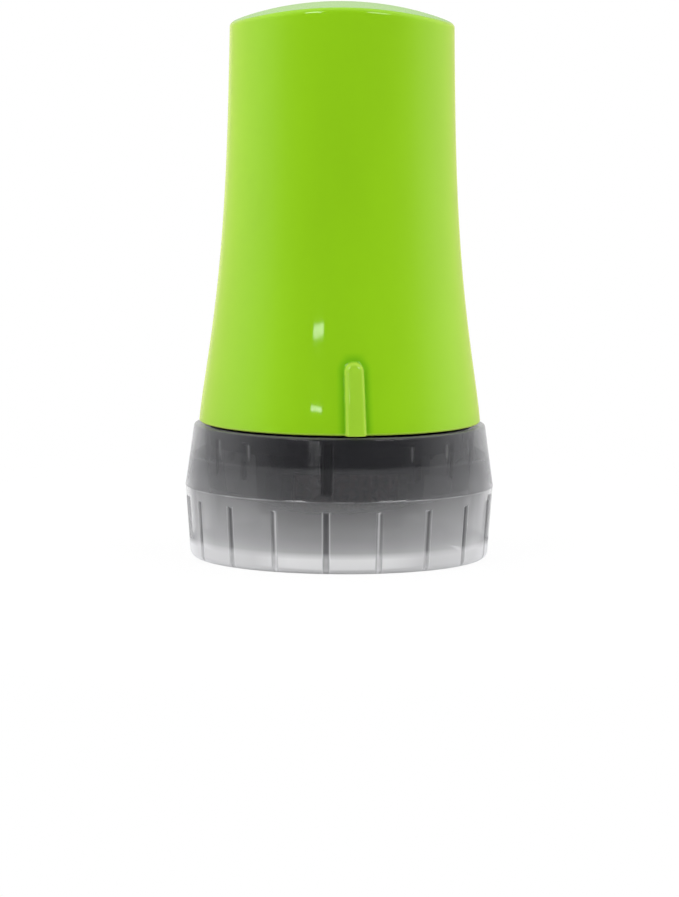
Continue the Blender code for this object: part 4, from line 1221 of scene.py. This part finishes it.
def studio_world():
    """Soft white surroundings that are dim on the camera's side and brightest at both sides."""
    world = bpy.data.worlds.new("studio")
    bpy.context.scene.world = world
    graph = Graph(world)
    way = graph.add("ShaderNodeTexCoord")["Generated"]
    front = 0.5 - 0.5 * graph.add("ShaderNodeSeparateXYZ", None, {0: way})[1]
    stops = [
        (0.0, 0.78), (0.02, 0.68), (0.045, 0.44), (0.13, 0.46), (0.28, 0.60),
        (0.41, 0.66), (0.56, 0.5), (0.735, 0.12), (0.86, 0.02),
    ]
    level = graph.add("ShaderNodeValToRGB", {"stops": stops}, {0: front})[0]
    glow = graph.add("ShaderNodeBackground", None, {"Color": level})[0]
    white = graph.add("ShaderNodeBackground", None, {"Color": opaque((1.0, 1.0, 1.0))})[0]
    graph.add("ShaderNodeOutputWorld", None, {0: graph.mixed(graph.seen(), glow, white)})


def studio_floor():
    """A wide pale floor. The camera sees the stamp's soft shadow on it and otherwise looks through it at
    the white surroundings, so the cap stays in sight where it slides down past the table."""
    columns = 64
    rings = np.concatenate([[0.02, 0.05], np.geomspace(0.1, 6.0, 12)])[::-1]
    turn = once_round(columns)
    radius, height = turned_grid(profile_rows(rings, 0.0), turn)
    index, _, quads = ring_faces(len(rings), columns)
    faces = quads[:-1].reshape(-1, 4).tolist() + [index[-1].tolist()]
    made = Finish("pale floor")
    made.set(Base_Color=(0.9, 0.9, 0.9), Roughness=0.9, Specular_IOR_Level=0.0)
    clear = made.add("ShaderNodeBsdfTransparent")[0]
    away = made.add("ShaderNodeVectorMath", {"operation": "LENGTH"}, {0: made.place})["Value"]
    bare = 0.92 + 0.08 * away.clamped(0.03, 0.11)
    made.show(made.mixed(made.seen() * bare, made.surface, clear))
    floor = meshed("floor", points_from(radius, height, turn).reshape(-1, 3), faces, made.material)
    floor.visible_glossy = False


def studio_camera(studio):
    """The camera that took the photograph: a long lens that looks slightly down."""
    camera = bpy.data.cameras.new("camera")
    camera.lens = studio.lens
    camera.sensor_width = 36.0
    camera.sensor_fit = "AUTO"
    camera.clip_start = 0.01
    camera.clip_end = 30.0
    eye = linked("camera", camera)
    turn, reach = studio.camera_turn, studio.camera_reach
    eye.location = (reach * math.sin(turn), -reach * math.cos(turn), studio.camera_height)
    turned = Matrix.Rotation(turn, 3, "Z")
    tilted = Matrix.Rotation(QUARTER - studio.camera_tilt, 3, "X")
    rolled = Matrix.Rotation(studio.camera_roll, 3, "Z")
    eye.rotation_euler = (turned @ tilted @ rolled).to_euler()
    bpy.context.scene.camera = eye


class ROLLER_OT_studio(bpy.types.Operator):
    """Sets the floor, the lights, the surroundings and the camera"""

    bl_idname = "roller_stamp.studio"
    bl_label = "Studio"

    def execute(self, context):
        studio = context.scene.roller_studio
        for item in list(bpy.data.objects):
            if item.type in ("CAMERA", "LIGHT"):
                bpy.data.objects.remove(item, do_unlink=True)
        studio_world()
        studio_floor()
        studio_lights(studio)
        studio_camera(studio)
        context.scene.view_settings.view_transform = "Standard"
        return {"FINISHED"}


class ROLLER_PT_panel(bpy.types.Panel):
    """Buttons and sizes of the roller stamp"""

    bl_idname = "ROLLER_PT_panel"
    bl_label = "Roller Stamp"
    bl_space_type = "VIEW_3D"
    bl_region_type = "UI"
    bl_category = "Roller Stamp"

    def draw(self, context):
        for made in OPERATORS:
            self.layout.operator(made.bl_idname)
        for name, group in GROUPS.items():
            box = self.layout.box()
            for key in group.__annotations__:
                box.prop(getattr(context.scene, name), key)


GROUPS = {
    "roller_case": CaseSizes,
    "roller_cap": CapSizes,
    "roller_wheel": WheelSizes,
    "roller_finishes": Finishes,
    "roller_studio": StudioSettings,
}
OPERATORS = (
    ROLLER_OT_case, ROLLER_OT_cap, ROLLER_OT_wheel, ROLLER_OT_ink,
    ROLLER_OT_mouldings, ROLLER_OT_axles, ROLLER_OT_studio,
)


def register():
    for name, group in GROUPS.items():
        bpy.utils.register_class(group)
        setattr(bpy.types.Scene, name, PointerProperty(type=group))
    for made in (*OPERATORS, ROLLER_PT_panel):
        bpy.utils.register_class(made)


def unregister():
    for made in (ROLLER_PT_panel, *reversed(OPERATORS)):
        bpy.utils.unregister_class(made)
    for name, group in reversed(list(GROUPS.items())):
        delattr(bpy.types.Scene, name)
        bpy.utils.unregister_class(group)


def main():
    """Builds every piece and the studio."""
    register()
    bpy.ops.roller_stamp.case()
    bpy.ops.roller_stamp.cap()
    bpy.ops.roller_stamp.wheel()
    bpy.ops.roller_stamp.ink()
    bpy.ops.roller_stamp.mouldings()
    bpy.ops.roller_stamp.axles()
    bpy.ops.roller_stamp.studio()
    bpy.context.view_layer.update()


if __name__ == "__main__":
    main()
